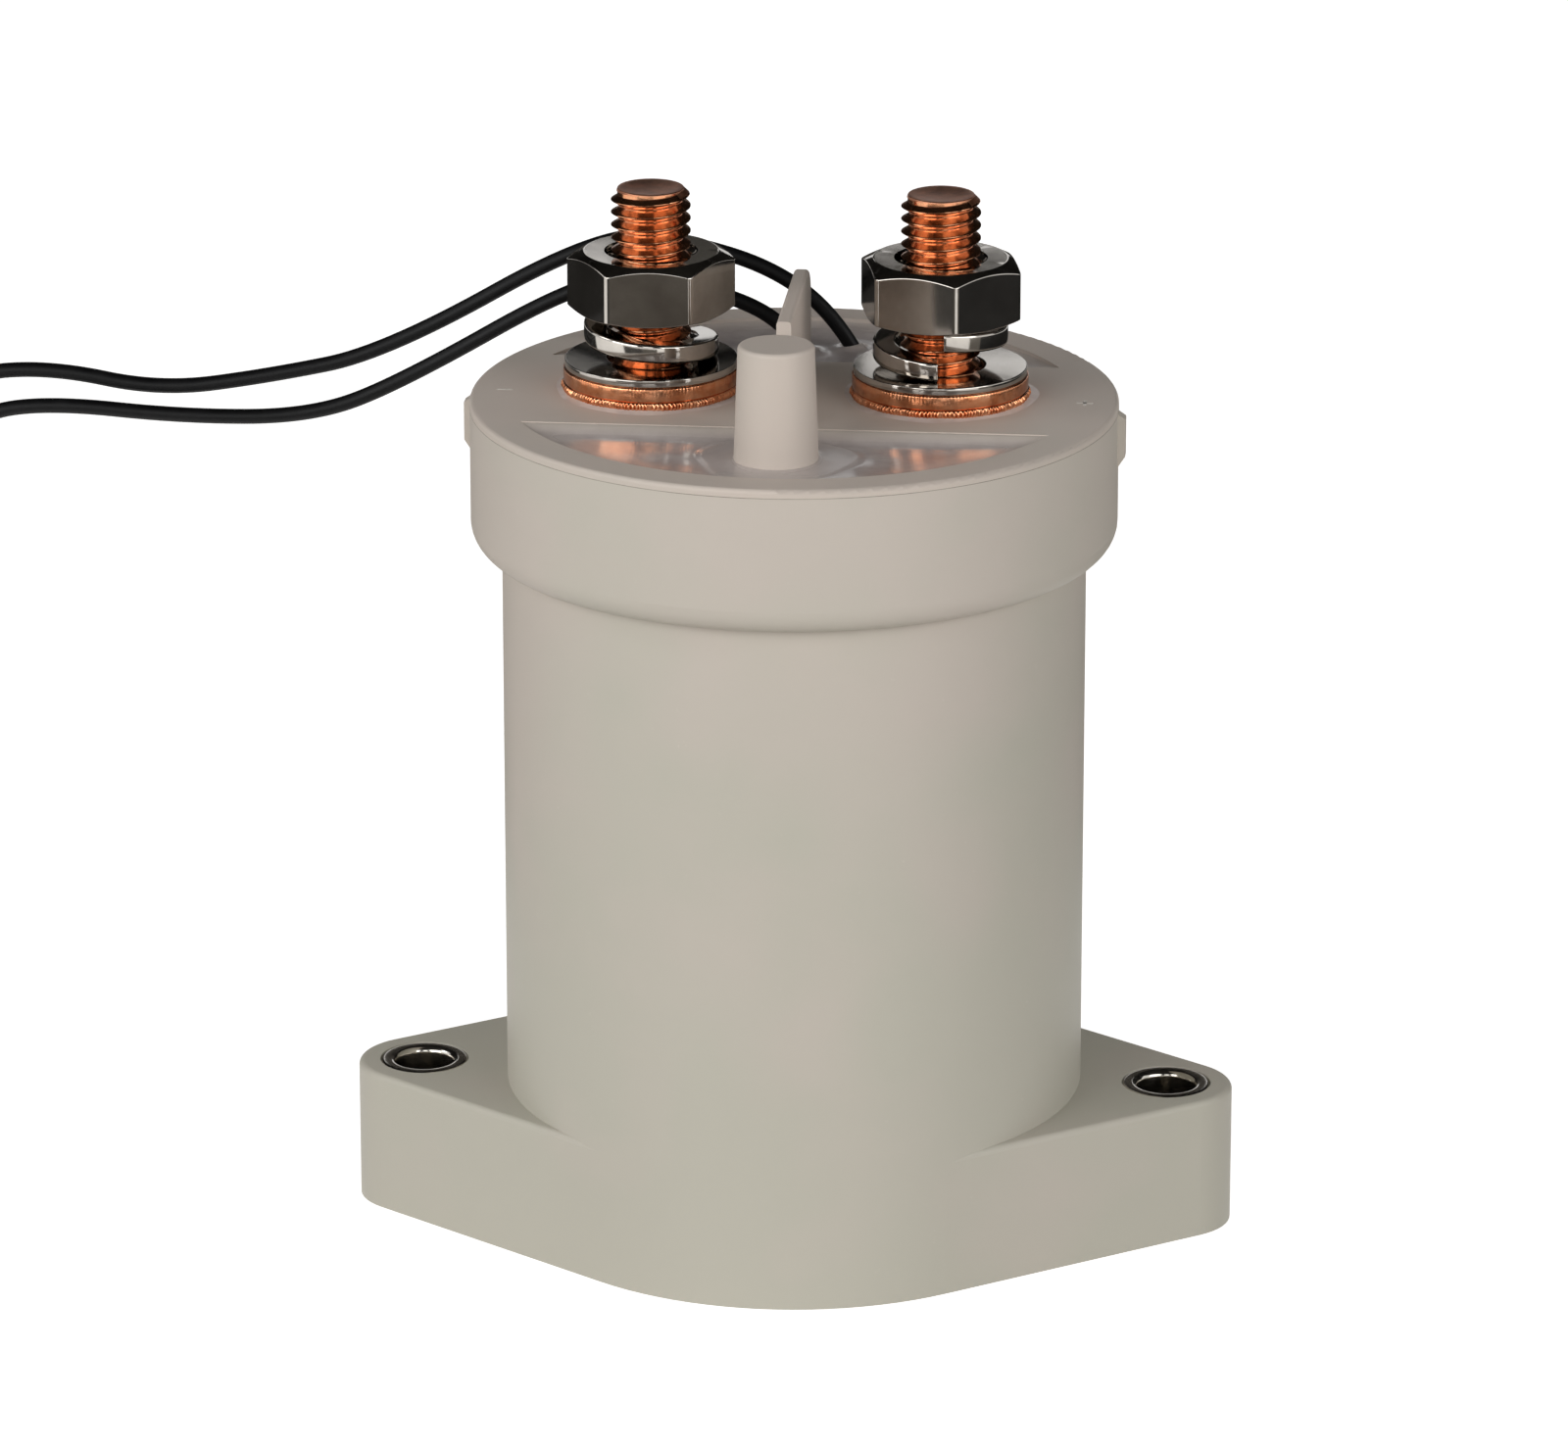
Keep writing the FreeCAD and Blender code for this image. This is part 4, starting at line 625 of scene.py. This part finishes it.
def makeTerminal(side):
    node = "terminal_" + side
    centre = centreOf(node)
    low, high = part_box(node)
    mesh = bmesh.new()
    verts = addThread(mesh, centre, thread["root"], thread["crest"], thread["pitch"],
                      shoulder["top"] - stud["sunk"], high.z - stud["endEdge"], thread["steps"])
    for vert in verts:  # the end is turned to a cone
        reach, angle = polar(vert, centre)
        limit = thread["crest"] - max(0, vert.co.z - high.z + thread["chamfer"])
        setPolar(vert, centre, min(reach, limit), angle)
    depth, edge = stud["dishDepth"], stud["endEdge"]
    end = [(0, high.z - depth), (stud["dishFloor"], high.z - 0.8 * depth)]
    end += [(stud["dishRim"], high.z - stud["rimDrop"])]
    end += roundCorner((stud["end"] - edge, high.z - edge), edge, quarter, -quarter, 4)
    end += [(stud["end"], high.z - stud["below"])]
    turned(mesh, centre, end, thread["steps"], closed=False)
    for face in mesh.faces:
        if all(v.co.z > high.z - stud["tarnish"] for v in face.verts):
            face.material_index = 1
    top, foot, edge = shoulder["top"], shoulder["foot"], shoulder["edge"]
    post, radius = shoulder["post"], shoulder["radius"]
    outline = ([(0, low.z), (post - edge, low.z), (post, low.z + edge), (post, foot), (radius, foot)]
               + [(radius, coverTop + rise * mm) for rise in shoulderRings]
               + roundCorner((radius - edge, top - edge), edge, 0, quarter, 4)
               + [(thread["root"] - shoulder["inwards"], top)])
    for vert in turned(mesh, centre, outline, shoulder["steps"], closed=False):
        reach, angle = polar(vert, centre)
        lift = (vert.co.z - coverTop) / mm
        if reach > radius - edge and lift > 0:
            setPolar(vert, centre, reach + shoulderRelief(angle, lift), angle)
    copperAndEnd = [finish["copper"], finish["stud_end_copper"]]
    piece = finished("studTerminal_" + side, mesh, "case", "copper", 42, copperAndEnd)
    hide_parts(node)


for side in ("left", "right"):
    makeTerminal(side)
print("terminals turned")


# Washers and nuts

flatWasher = {"inner": 5.2 * mm, "outer": 10.05 * mm, "edge": 0.16 * mm, "steps": 160,
              "dish": {"left": 0.004, "right": 0.012}}
splitWasher = {"inner": 5.2 * mm, "outer": 7.8 * mm, "thickness": 2.2 * mm, "edge": 0.35 * mm,
               "endEdge": 0.12 * mm, "gap": 5, "start": {"left": 50, "right": -88}, "steps": 160}
nut = {"flats": 17 * mm, "bore": 4.75 * mm, "mouth": 0.7 * mm, "face": 7.75 * mm, "topSlope": 0.51,
       "footSlope": 0.38, "cornerRound": 0.8 * mm, "bevel": 0.13 * mm, "start": {"left": 4, "right": 44.5},
       "threadRoot": 5.25 * mm, "threadSteps": 72, "mouthEdge": 5.4 * mm, "sleeve": 5.35 * mm,
       "footInset": 0.25 * mm, "chamfer": 1 * mm, "slack": 0.1 * mm}
# degrees from a flat's middle to its corner
nutColumns = (0, 4, 8, 12, 16, 20, 23.5, 26, 27.6, 28.2, 28.8, 29.4, 30)


def makeFlatWasher(side):
    node = "flat_washer_" + side
    low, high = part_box(node)
    centre = centreOf(node)
    mesh = bmesh.new()
    section = roundedBlock(flatWasher["inner"], flatWasher["outer"], low.z, high.z, flatWasher["edge"])
    for vert in turned(mesh, centre, section, flatWasher["steps"]):  # hollow: its top slopes outwards
        if vert.co.z > (low.z + high.z) / 2:
            vert.co.z -= (polar(vert, centre)[0] - flatWasher["inner"]) * flatWasher["dish"][side]
    piece = finished("plainWasher_" + side, mesh, "washers_" + side, "stainless_steel", 50, flatFaces=True)
    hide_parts(node)


def makeSplitWasher(side):
    node = "spring_washer_" + side
    low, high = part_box(node)
    centre = centreOf("flat_washer_" + side)
    rise = high.z - low.z - splitWasher["thickness"]
    start = math.radians(splitWasher["start"][side])
    sweep = math.radians(360 - splitWasher["gap"])
    section = roundedBlock(splitWasher["inner"], splitWasher["outer"], low.z,
                           low.z + splitWasher["thickness"], splitWasher["edge"])
    mesh = bmesh.new()
    points = [(centre[0] + r * math.cos(start), centre[1] + r * math.sin(start), z) for r, z in section]
    geometry = chain(mesh, points, closed=True)
    bmesh.ops.spin(mesh, geom=geometry, cent=(*centre, 0), axis=(0, 0, 1), angle=-sweep,
                   dvec=(0, 0, rise / splitWasher["steps"]), steps=splitWasher["steps"], use_duplicate=False)
    ends = [e for e in mesh.edges if e.is_boundary]
    caps = bmesh.ops.edgeloop_fill(mesh, edges=ends)["faces"]
    bmesh.ops.bevel(mesh, geom=list({e for f in caps for e in f.edges}), offset=splitWasher["endEdge"],
                    segments=2, profile=0.5, affect="EDGES", material=-1)
    piece = finished("splitWasher_" + side, mesh, "washers_" + side, "stainless_steel", 45, flatFaces=True)
    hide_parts(node)


def nutReach(fromFlat):  # the hexagon's radius with its upright corners rounded
    half, rounding = nut["flats"] / 2, nut["cornerRound"]
    middle = (half - rounding) / math.cos(math.pi / 6)
    beside = math.pi / 6 - abs(fromFlat)
    flat = half / math.cos(fromFlat)
    if flat * math.sin(beside) > rounding / 2:
        return flat
    return middle * math.cos(beside) + math.sqrt(rounding ** 2 - (middle * math.sin(beside)) ** 2)


def makeNut(side):
    node = "nut_" + side
    low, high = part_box(node)
    centre = centreOf("flat_washer_" + side)
    turn = math.radians(nut["start"][side])
    half, corner = nut["flats"] / 2, nut["flats"] / math.sqrt(3)
    sleeve, sink, slack = nut["sleeve"], nut["mouthEdge"], nut["slack"]
    outline = [(sleeve, low.z + nut["mouth"]), (sink, low.z), (half - nut["footInset"], low.z),
               (corner, low.z + nut["chamfer"]), (corner, high.z - nut["chamfer"]), (nut["face"], high.z),
               (sink, high.z), (sleeve, high.z - nut["mouth"])]
    steps = 12 * (len(nutColumns) - 1)
    sixth = math.pi / 3
    mesh = bmesh.new()
    for vert in turned(mesh, centre, outline, steps):  # six flats, and the arcs that the chamfers leave
        reach, angle = polar(vert, centre)
        column = round((angle % sixth - sixth / 2) / fullTurn * steps)
        fromFlat = math.copysign(math.radians(nutColumns[abs(column)]), column)
        angle = math.floor(angle / sixth + 0.0001) * sixth + sixth / 2 + fromFlat
        if reach > corner - slack:
            reach = nutReach(fromFlat)
            if vert.co.z > (low.z + high.z) / 2:
                setPolar(vert, centre, reach, angle, high.z - (reach - nut["face"]) * nut["topSlope"])
            else:
                setPolar(vert, centre, reach, angle, low.z + (reach - half + slack) * nut["footSlope"])
        else:
            setPolar(vert, centre, reach, angle)
    bmesh.ops.rotate(mesh, verts=mesh.verts, cent=(*centre, 0), matrix=Matrix.Rotation(turn, 3, "Z"))
    mesh.normal_update()
    crisp = [e for e in mesh.edges if len(e.link_faces) == 2 and e.calc_face_angle() > math.radians(20)
             and all(polar(v, centre)[0] > nut["face"] - slack for v in e.verts)]
    bmesh.ops.bevel(mesh, geom=crisp, offset=nut["bevel"], segments=3,
                    profile=0.5, affect="EDGES", material=-1)
    addThread(mesh, centre, nut["threadRoot"], nut["bore"] - 0.05 * mm, thread["pitch"],
              low.z + 0.2 * mm, high.z - 0.2 * mm, nut["threadSteps"])
    piece = finished("hexNut_" + side, mesh, "nut_" + side, "stainless_steel", 30, flatFaces=True)
    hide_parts(node)


for side in ("left", "right"):
    makeFlatWasher(side)
    makeSplitWasher(side)
    makeNut(side)
print("washers and nuts made")


# Bushes in the ears

bush = {"bore": 3.4 * mm, "lipRound": 0.36 * mm, "mouth": 0.55 * mm}


def makeBush(side):
    node = "mounting_bush_" + side
    low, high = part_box(node)
    centre = centreOf(node)
    outer = (high.x - low.x) / 2
    mesh = bmesh.new()
    bore, mouth, lip = bush["bore"], bush["mouth"], bush["lipRound"]
    outline = ([(bore, low.z + mouth), (bore + mouth, low.z), (outer, low.z)]
               + roundCorner((outer - lip, high.z - lip), lip, 0, quarter, 5)
               + roundCorner((bore + 2 * lip, high.z - 2 * lip), 2 * lip, quarter, quarter, 6))
    turned(mesh, centre, outline, 128)
    piece = finished("bushSleeve_" + side, mesh, "case", "nickel_plate", 40)
    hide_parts(node)


for side in ("left", "right"):
    makeBush(side)
print("bushes made")


# Potting: the resin's free surface in the cover's windows, drawn up where it wets something

pool = {"radius": 33.1 * mm, "columns": 260, "rows": 110, "level": 0.06 * mm, "ripple": 0.07 * mm,
        "bowl": 0.75 * mm, "bowlReach": 8.5 * mm, "climb": 0.3 * mm, "reach": 0.7 * mm,
        "band": {"front": -13.2 * mm, "back": 14.2 * mm}, "bandReach": 1.7 * mm,
        "film": -0.12 * mm, "filmWidth": 0.35 * mm,
        "capRadius": 4.85 * mm, "capClimb": 0.35 * mm, "capReach": 1.3 * mm, "puddleEdge": 0.14 * mm,
        "puddle": 0.2 * mm, "puddleReach": 4.1 * mm, "puddleWaves": ((0.5, 3, 0.6), (0.3, 5, 0)),
        "leadClimb": 0.7 * mm, "leadReach": 0.6 * mm, "ripples": (410, 530), "slantRipples": (190, 260)}


def makePool(side):  # a patch whose rows run along the band's edge, the first few under its rounded lip
    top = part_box("potting")[1].z
    depth = coverTop + pool["film"] - top
    cap = centreOf("tube_cap")
    exits = [Vector(leadRoutes[name][0]) * mm for name in leadRoutes]
    bandEdge, away = pool["band"][side], math.copysign(1, pool["band"][side])
    mesh = bmesh.new()
    bmesh.ops.create_grid(mesh, x_segments=pool["columns"], y_segments=pool["rows"], size=1)
    for vert in mesh.verts:
        along, down = vert.co.x, (vert.co.y + 1) / 2
        film = pool["filmWidth"] * (0.75 + waves(along, ((0.15, 17, away), (0.1, 41, 0))))
        fromBand = (pool["radius"] - abs(bandEdge) + film) * (down + 2 * down ** 3) / 3 - film
        y = bandEdge + away * fromBand
        x = math.sqrt(max(0, pool["radius"] ** 2 - y * y)) * math.sin(quarter * along)
        ripple = (math.sin(x * pool["ripples"][0] + 1.1) * math.sin(y * pool["ripples"][1] + 0.4)
                  + 0.6 * math.sin(x * pool["slantRipples"][0] - y * pool["slantRipples"][1]))
        fromRim = max(0, pool["radius"] - math.hypot(x, y))
        fromCap = max(0, math.hypot(x - cap[0], y - cap[1]) - pool["capRadius"])
        around = math.atan2(y - cap[1], x - cap[0])
        edge = pool["puddleReach"] + waves(around, pool["puddleWaves"]) * mm - fromCap
        climbs = [
            pool["bowl"] * max(0, 1 - fromRim / pool["bowlReach"]) ** 2,
            pool["climb"] * math.exp(-fromRim / pool["reach"]),
            depth * math.exp(-(max(0, fromBand) / pool["bandReach"]) ** 2),
            pool["capClimb"] * math.exp(-fromCap / pool["capReach"]),
            pool["puddle"] / (1 + math.exp(-edge / pool["puddleEdge"])),
            pool["level"] + pool["ripple"] * (1 + 0.6 * ripple),
        ]
        for out in exits:
            near = max(0, math.hypot(x - out.x, y - out.y) - lead["radius"])
            climbs.append(pool["leadClimb"] * math.exp(-near / pool["leadReach"]))
        rest = 1
        for climb in climbs:  # climbs blend and never pass the cover's face
            rest *= 1 - climb / depth
        vert.co = (x, y, top + depth * (1 - rest))
    finished("resinPool_" + side, mesh, "case", "potting_resin", 80)


bead = {"width": 1.2 * mm, "height": 0.32 * mm, "tuck": 0.35 * mm, "sunk": 0.01 * mm, "hollow": 1.6,
        "wobble": ((0.3, 3, 0.7), (0.2, 7, 0)), "rows": 10, "steps": 240}
seam = {"inner": 36.7 * mm, "outer": 37.51 * mm, "half": 0.05 * mm, "round": 0.03 * mm, "steps": 240}


def makeBead(side):  # pale resin squeezed up round the shoulder, its foot running out over the cover
    centre = centreOf("terminal_" + side)
    inner = shoulder["radius"] - bead["tuck"]
    outline = []
    for row in range(bead["rows"] + 1):
        out = row / bead["rows"]
        height = bead["height"] * (1 - out) ** bead["hollow"] - bead["sunk"]
        outline.append((inner + (bead["width"] + bead["tuck"]) * out, coverTop + height))
    mesh = bmesh.new()
    for vert in turned(mesh, centre, outline, bead["steps"], closed=False):
        reach, angle = polar(vert, centre)
        wobble = 0.5 + waves(angle, bead["wobble"])
        outwards = max(0, reach - inner - bead["tuck"])
        setPolar(vert, centre, reach + outwards * (0.6 * wobble - 0.3), angle,
                 coverTop + (vert.co.z - coverTop) * (0.7 + 0.5 * wobble))
    finished("resinBead_" + side, mesh, "case", "potting_resin", 60, [finish["bead_resin"]])


def makeSeam():  # glue line where the cover's rim sits on the collar, darkened as painted shade of the joint
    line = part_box("housing")[1].z
    half = seam["half"]
    section = roundedBlock(seam["inner"], seam["outer"], line - half, line + half, seam["round"], 2)
    mesh = bmesh.new()
    turned(mesh, (0, 0), section, seam["steps"])
    finished("rimSeam", mesh, "case", "cover_resin", 60, [finish["seam_line"]])


for side in ("front", "back"):
    makePool(side)
for side in ("left", "right"):
    makeBead(side)
makeSeam()
print("resin poured")


# Polarity: a plain plus and minus on the cover, no letters

sign = {"arm": 1.9 * mm, "stroke": 0.4 * mm, "height": 0.03 * mm, "corner": 0.12 * mm, "radius": 33.6 * mm,
        "left": 181, "right": 0}


def makeSign(side, arms):
    angle = math.radians(sign[side])
    centre = Vector((sign["radius"] * math.cos(angle), sign["radius"] * math.sin(angle), coverTop))
    mesh = bmesh.new()
    for arm in arms:
        size = Matrix.Diagonal((sign["arm"], sign["stroke"], 2 * sign["height"], 1))
        spin = Matrix.Rotation(math.radians(arm) + angle, 4, "Z")
        block = bmesh.ops.create_cube(mesh, size=1, matrix=Matrix.Translation(centre) @ spin @ size)
        upright = [e for e in {e for v in block["verts"] for e in v.link_edges}
                   if abs(e.verts[0].co.z - e.verts[1].co.z) > 0.01 * mm]
        bmesh.ops.bevel(mesh, geom=upright, offset=sign["corner"], segments=3,
                        profile=0.5, affect="EDGES", material=-1)
    finished("polaritySign_" + side, mesh, "case", "cover_resin", 30, [finish["mark_paint"]])


makeSign("left", (0,))
makeSign("right", (0, 90))
print("signs printed")


# Studio: pale floor that reads as white, soft lights low and in front, dark cards for the bright metal

studio = {"floorSize": 6, "floorDrop": 0.05 * mm, "floorColour": "dedcd8", "floorGlow": 0.82,
          "worldStrength": 0.14, "cardSteps": 48}
lamps = {  # in metres and watts
    "leftBox": {"place": (-0.9, -1.1, 0.62), "aim": (0, 0, 0.06), "size": (1.15, 0.75), "power": 11.8},
    "rightBox": {"place": (1.03, -0.93, 0.57), "aim": (0, 0, 0.06), "size": (1.15, 0.75), "power": 8.9},
    "front": {"place": (0.06, -1.5, 0.62), "aim": (0, 0, 0.08), "size": (0.45, 0.45), "power": 1.5},
    "side": {"place": (-0.95, -0.1, 0.72), "aim": (0, 0, 0.1), "size": (0.35, 0.35), "power": 1.3},
    "back": {"place": (0.2, 1.3, 0.18), "aim": (0, 0, 0.06), "size": (0.8, 0.25), "power": 3, "matt": True},
}
# Cards that only the metal's reflections see: the angle where each starts, its sweep and its tone
mat = {"inner": 0.14, "outer": 0.95, "height": 0.001}
mats = {
    "cornerMat": (228, 32, "3a3733"), "frontMat": (260, 25, "6a645c"), "openMat": (326, 20, "8f8a82"),
    "rightMat": (-14, 30, "0f0e0d"), "backMat": (16, 152, "24221f"),
}
roof = {"radius": 2.3, "height": 1.7, "card": (0, 360, "24221f")}
walls = {  # upright cards have their radius, lower and upper edge first, in metres
    "farRight": (2.3, 0.12, 1.7, 20, 64, "24221f"), "farHigh": (2.3, 1.0, 1.7, 84, 22, "24221f"),
    "farLeft": (2.3, 0.12, 1.7, 106, 54, "24221f"), "frontCard": (2.3, 0.5, 1.6, 215, 110, "24221f"),
    "nearRight": (0.25, 0.1825, 0.215, 87.3, 5.9, "5e5c59"),  # seen by the nuts' tops
    "nearLeft": (0.25, 0.1825, 0.215, 97.1, 4, "55534f"),
    "lowLeft": (0.25, 0.168, 0.1825, 97.1, 8, "3a3835"),  # by the left washers
    "gapCard": (0.25, 0.168, 0.215, 93.4, 3.7, "3a3835"),  # by the resin in front
    "poolCard": (0.25, 0.15, 0.168, 85, 18, "2c2a28"),  # by the resin at the back
    "bushCard": (0.25, 0.06, 0.125, 78, 34, "3f3b36"),  # by the bushes' lips
}


def seenDirectly(tree, low, high):  # high for what the lens, a mirror or glass sees, and low for the rest
    path = addNode(tree, "LightPath").node.outputs
    rays = addNode(tree, "Math", {0: path["Is Camera Ray"], 1: path["Is Glossy Ray"]}, operation="MAXIMUM")
    rays = addNode(tree, "Math", {0: rays, 1: path["Is Transmission Ray"]}, operation="MAXIMUM")
    return addNode(tree, "MapRange", {"Value": rays, "To Min": low, "To Max": high})


def makeWorld():
    world = bpy.data.worlds.new("studio")
    world.use_nodes = True
    tree = world.node_tree
    background = tree.nodes["Background"]
    background.inputs["Color"].default_value = (1, 1, 1, 1)
    tree.links.new(seenDirectly(tree, studio["worldStrength"], 1.0), background.inputs["Strength"])
    bpy.context.scene.world = world


def stageObject(name, mesh, material):
    data = bpy.data.meshes.new(name)
    mesh.to_mesh(data)
    mesh.free()
    data.materials.append(material)
    thing = bpy.data.objects.new(name, data)
    bpy.context.collection.objects.link(thing)
    return thing


def makeFloor():
    mesh = bmesh.new()
    bmesh.ops.create_grid(mesh, x_segments=1, y_segments=1, size=studio["floorSize"] / 2)
    material, tree, shader = newMaterial("pale floor", {
        "Roughness": 0.9, "Specular IOR Level": 0.1, "Base Color": linearColour(studio["floorColour"]),
        "Emission Color": (1, 1, 1, 1),
    })
    tree.links.new(seenDirectly(tree, 0.0, studio["floorGlow"]), shader.inputs["Emission Strength"])
    floor = stageObject("floor", mesh, material)
    floor.location.z = solidBox[0].z - studio["floorDrop"]


def makeCard(name, edges, start, sweep, tone):  # edges as (radius, height) of the card's two long edges
    mesh = bmesh.new()
    start = math.radians(start)
    geometry = chain(mesh, [(r * math.cos(start), r * math.sin(start), z) for r, z in edges])
    bmesh.ops.spin(mesh, geom=geometry, cent=(0, 0, 0), axis=(0, 0, 1), dvec=(0, 0, 0),
                   angle=math.radians(sweep), steps=studio["cardSteps"], use_duplicate=False)
    felt = newMaterial(name + " felt", {"Base Color": linearColour(tone), "Roughness": 0.95})[0]
    card = stageObject(name, mesh, felt)
    card.visible_camera = card.visible_diffuse = card.visible_shadow = False
    card.visible_transmission = card.visible_volume_scatter = False


def makeLamp(name, facts):
    data = bpy.data.lights.new(name, "AREA")
    data.shape = "RECTANGLE"
    data.size, data.size_y = facts["size"]
    data.energy = facts["power"]
    lamp = bpy.data.objects.new(name, data)
    lamp.location = facts["place"]
    lamp.visible_glossy = not facts.get("matt", False)
    lamp.rotation_euler = (Vector(facts["aim"]) - Vector(facts["place"])).to_track_quat("-Z", "Y").to_euler()
    bpy.context.collection.objects.link(lamp)


makeWorld()
makeFloor()
for name, facts in lamps.items():
    makeLamp(name, facts)
for name, card in mats.items():
    makeCard(name, [(mat["inner"], mat["height"]), (mat["outer"], mat["height"])], *card)
for name, (radius, low, high, *card) in walls.items():
    makeCard(name, [(radius, low), (radius, high)], *card)
makeCard("roofCard", [(0, roof["height"]), (roof["radius"], roof["height"])], *roof["card"])
print("studio lit")
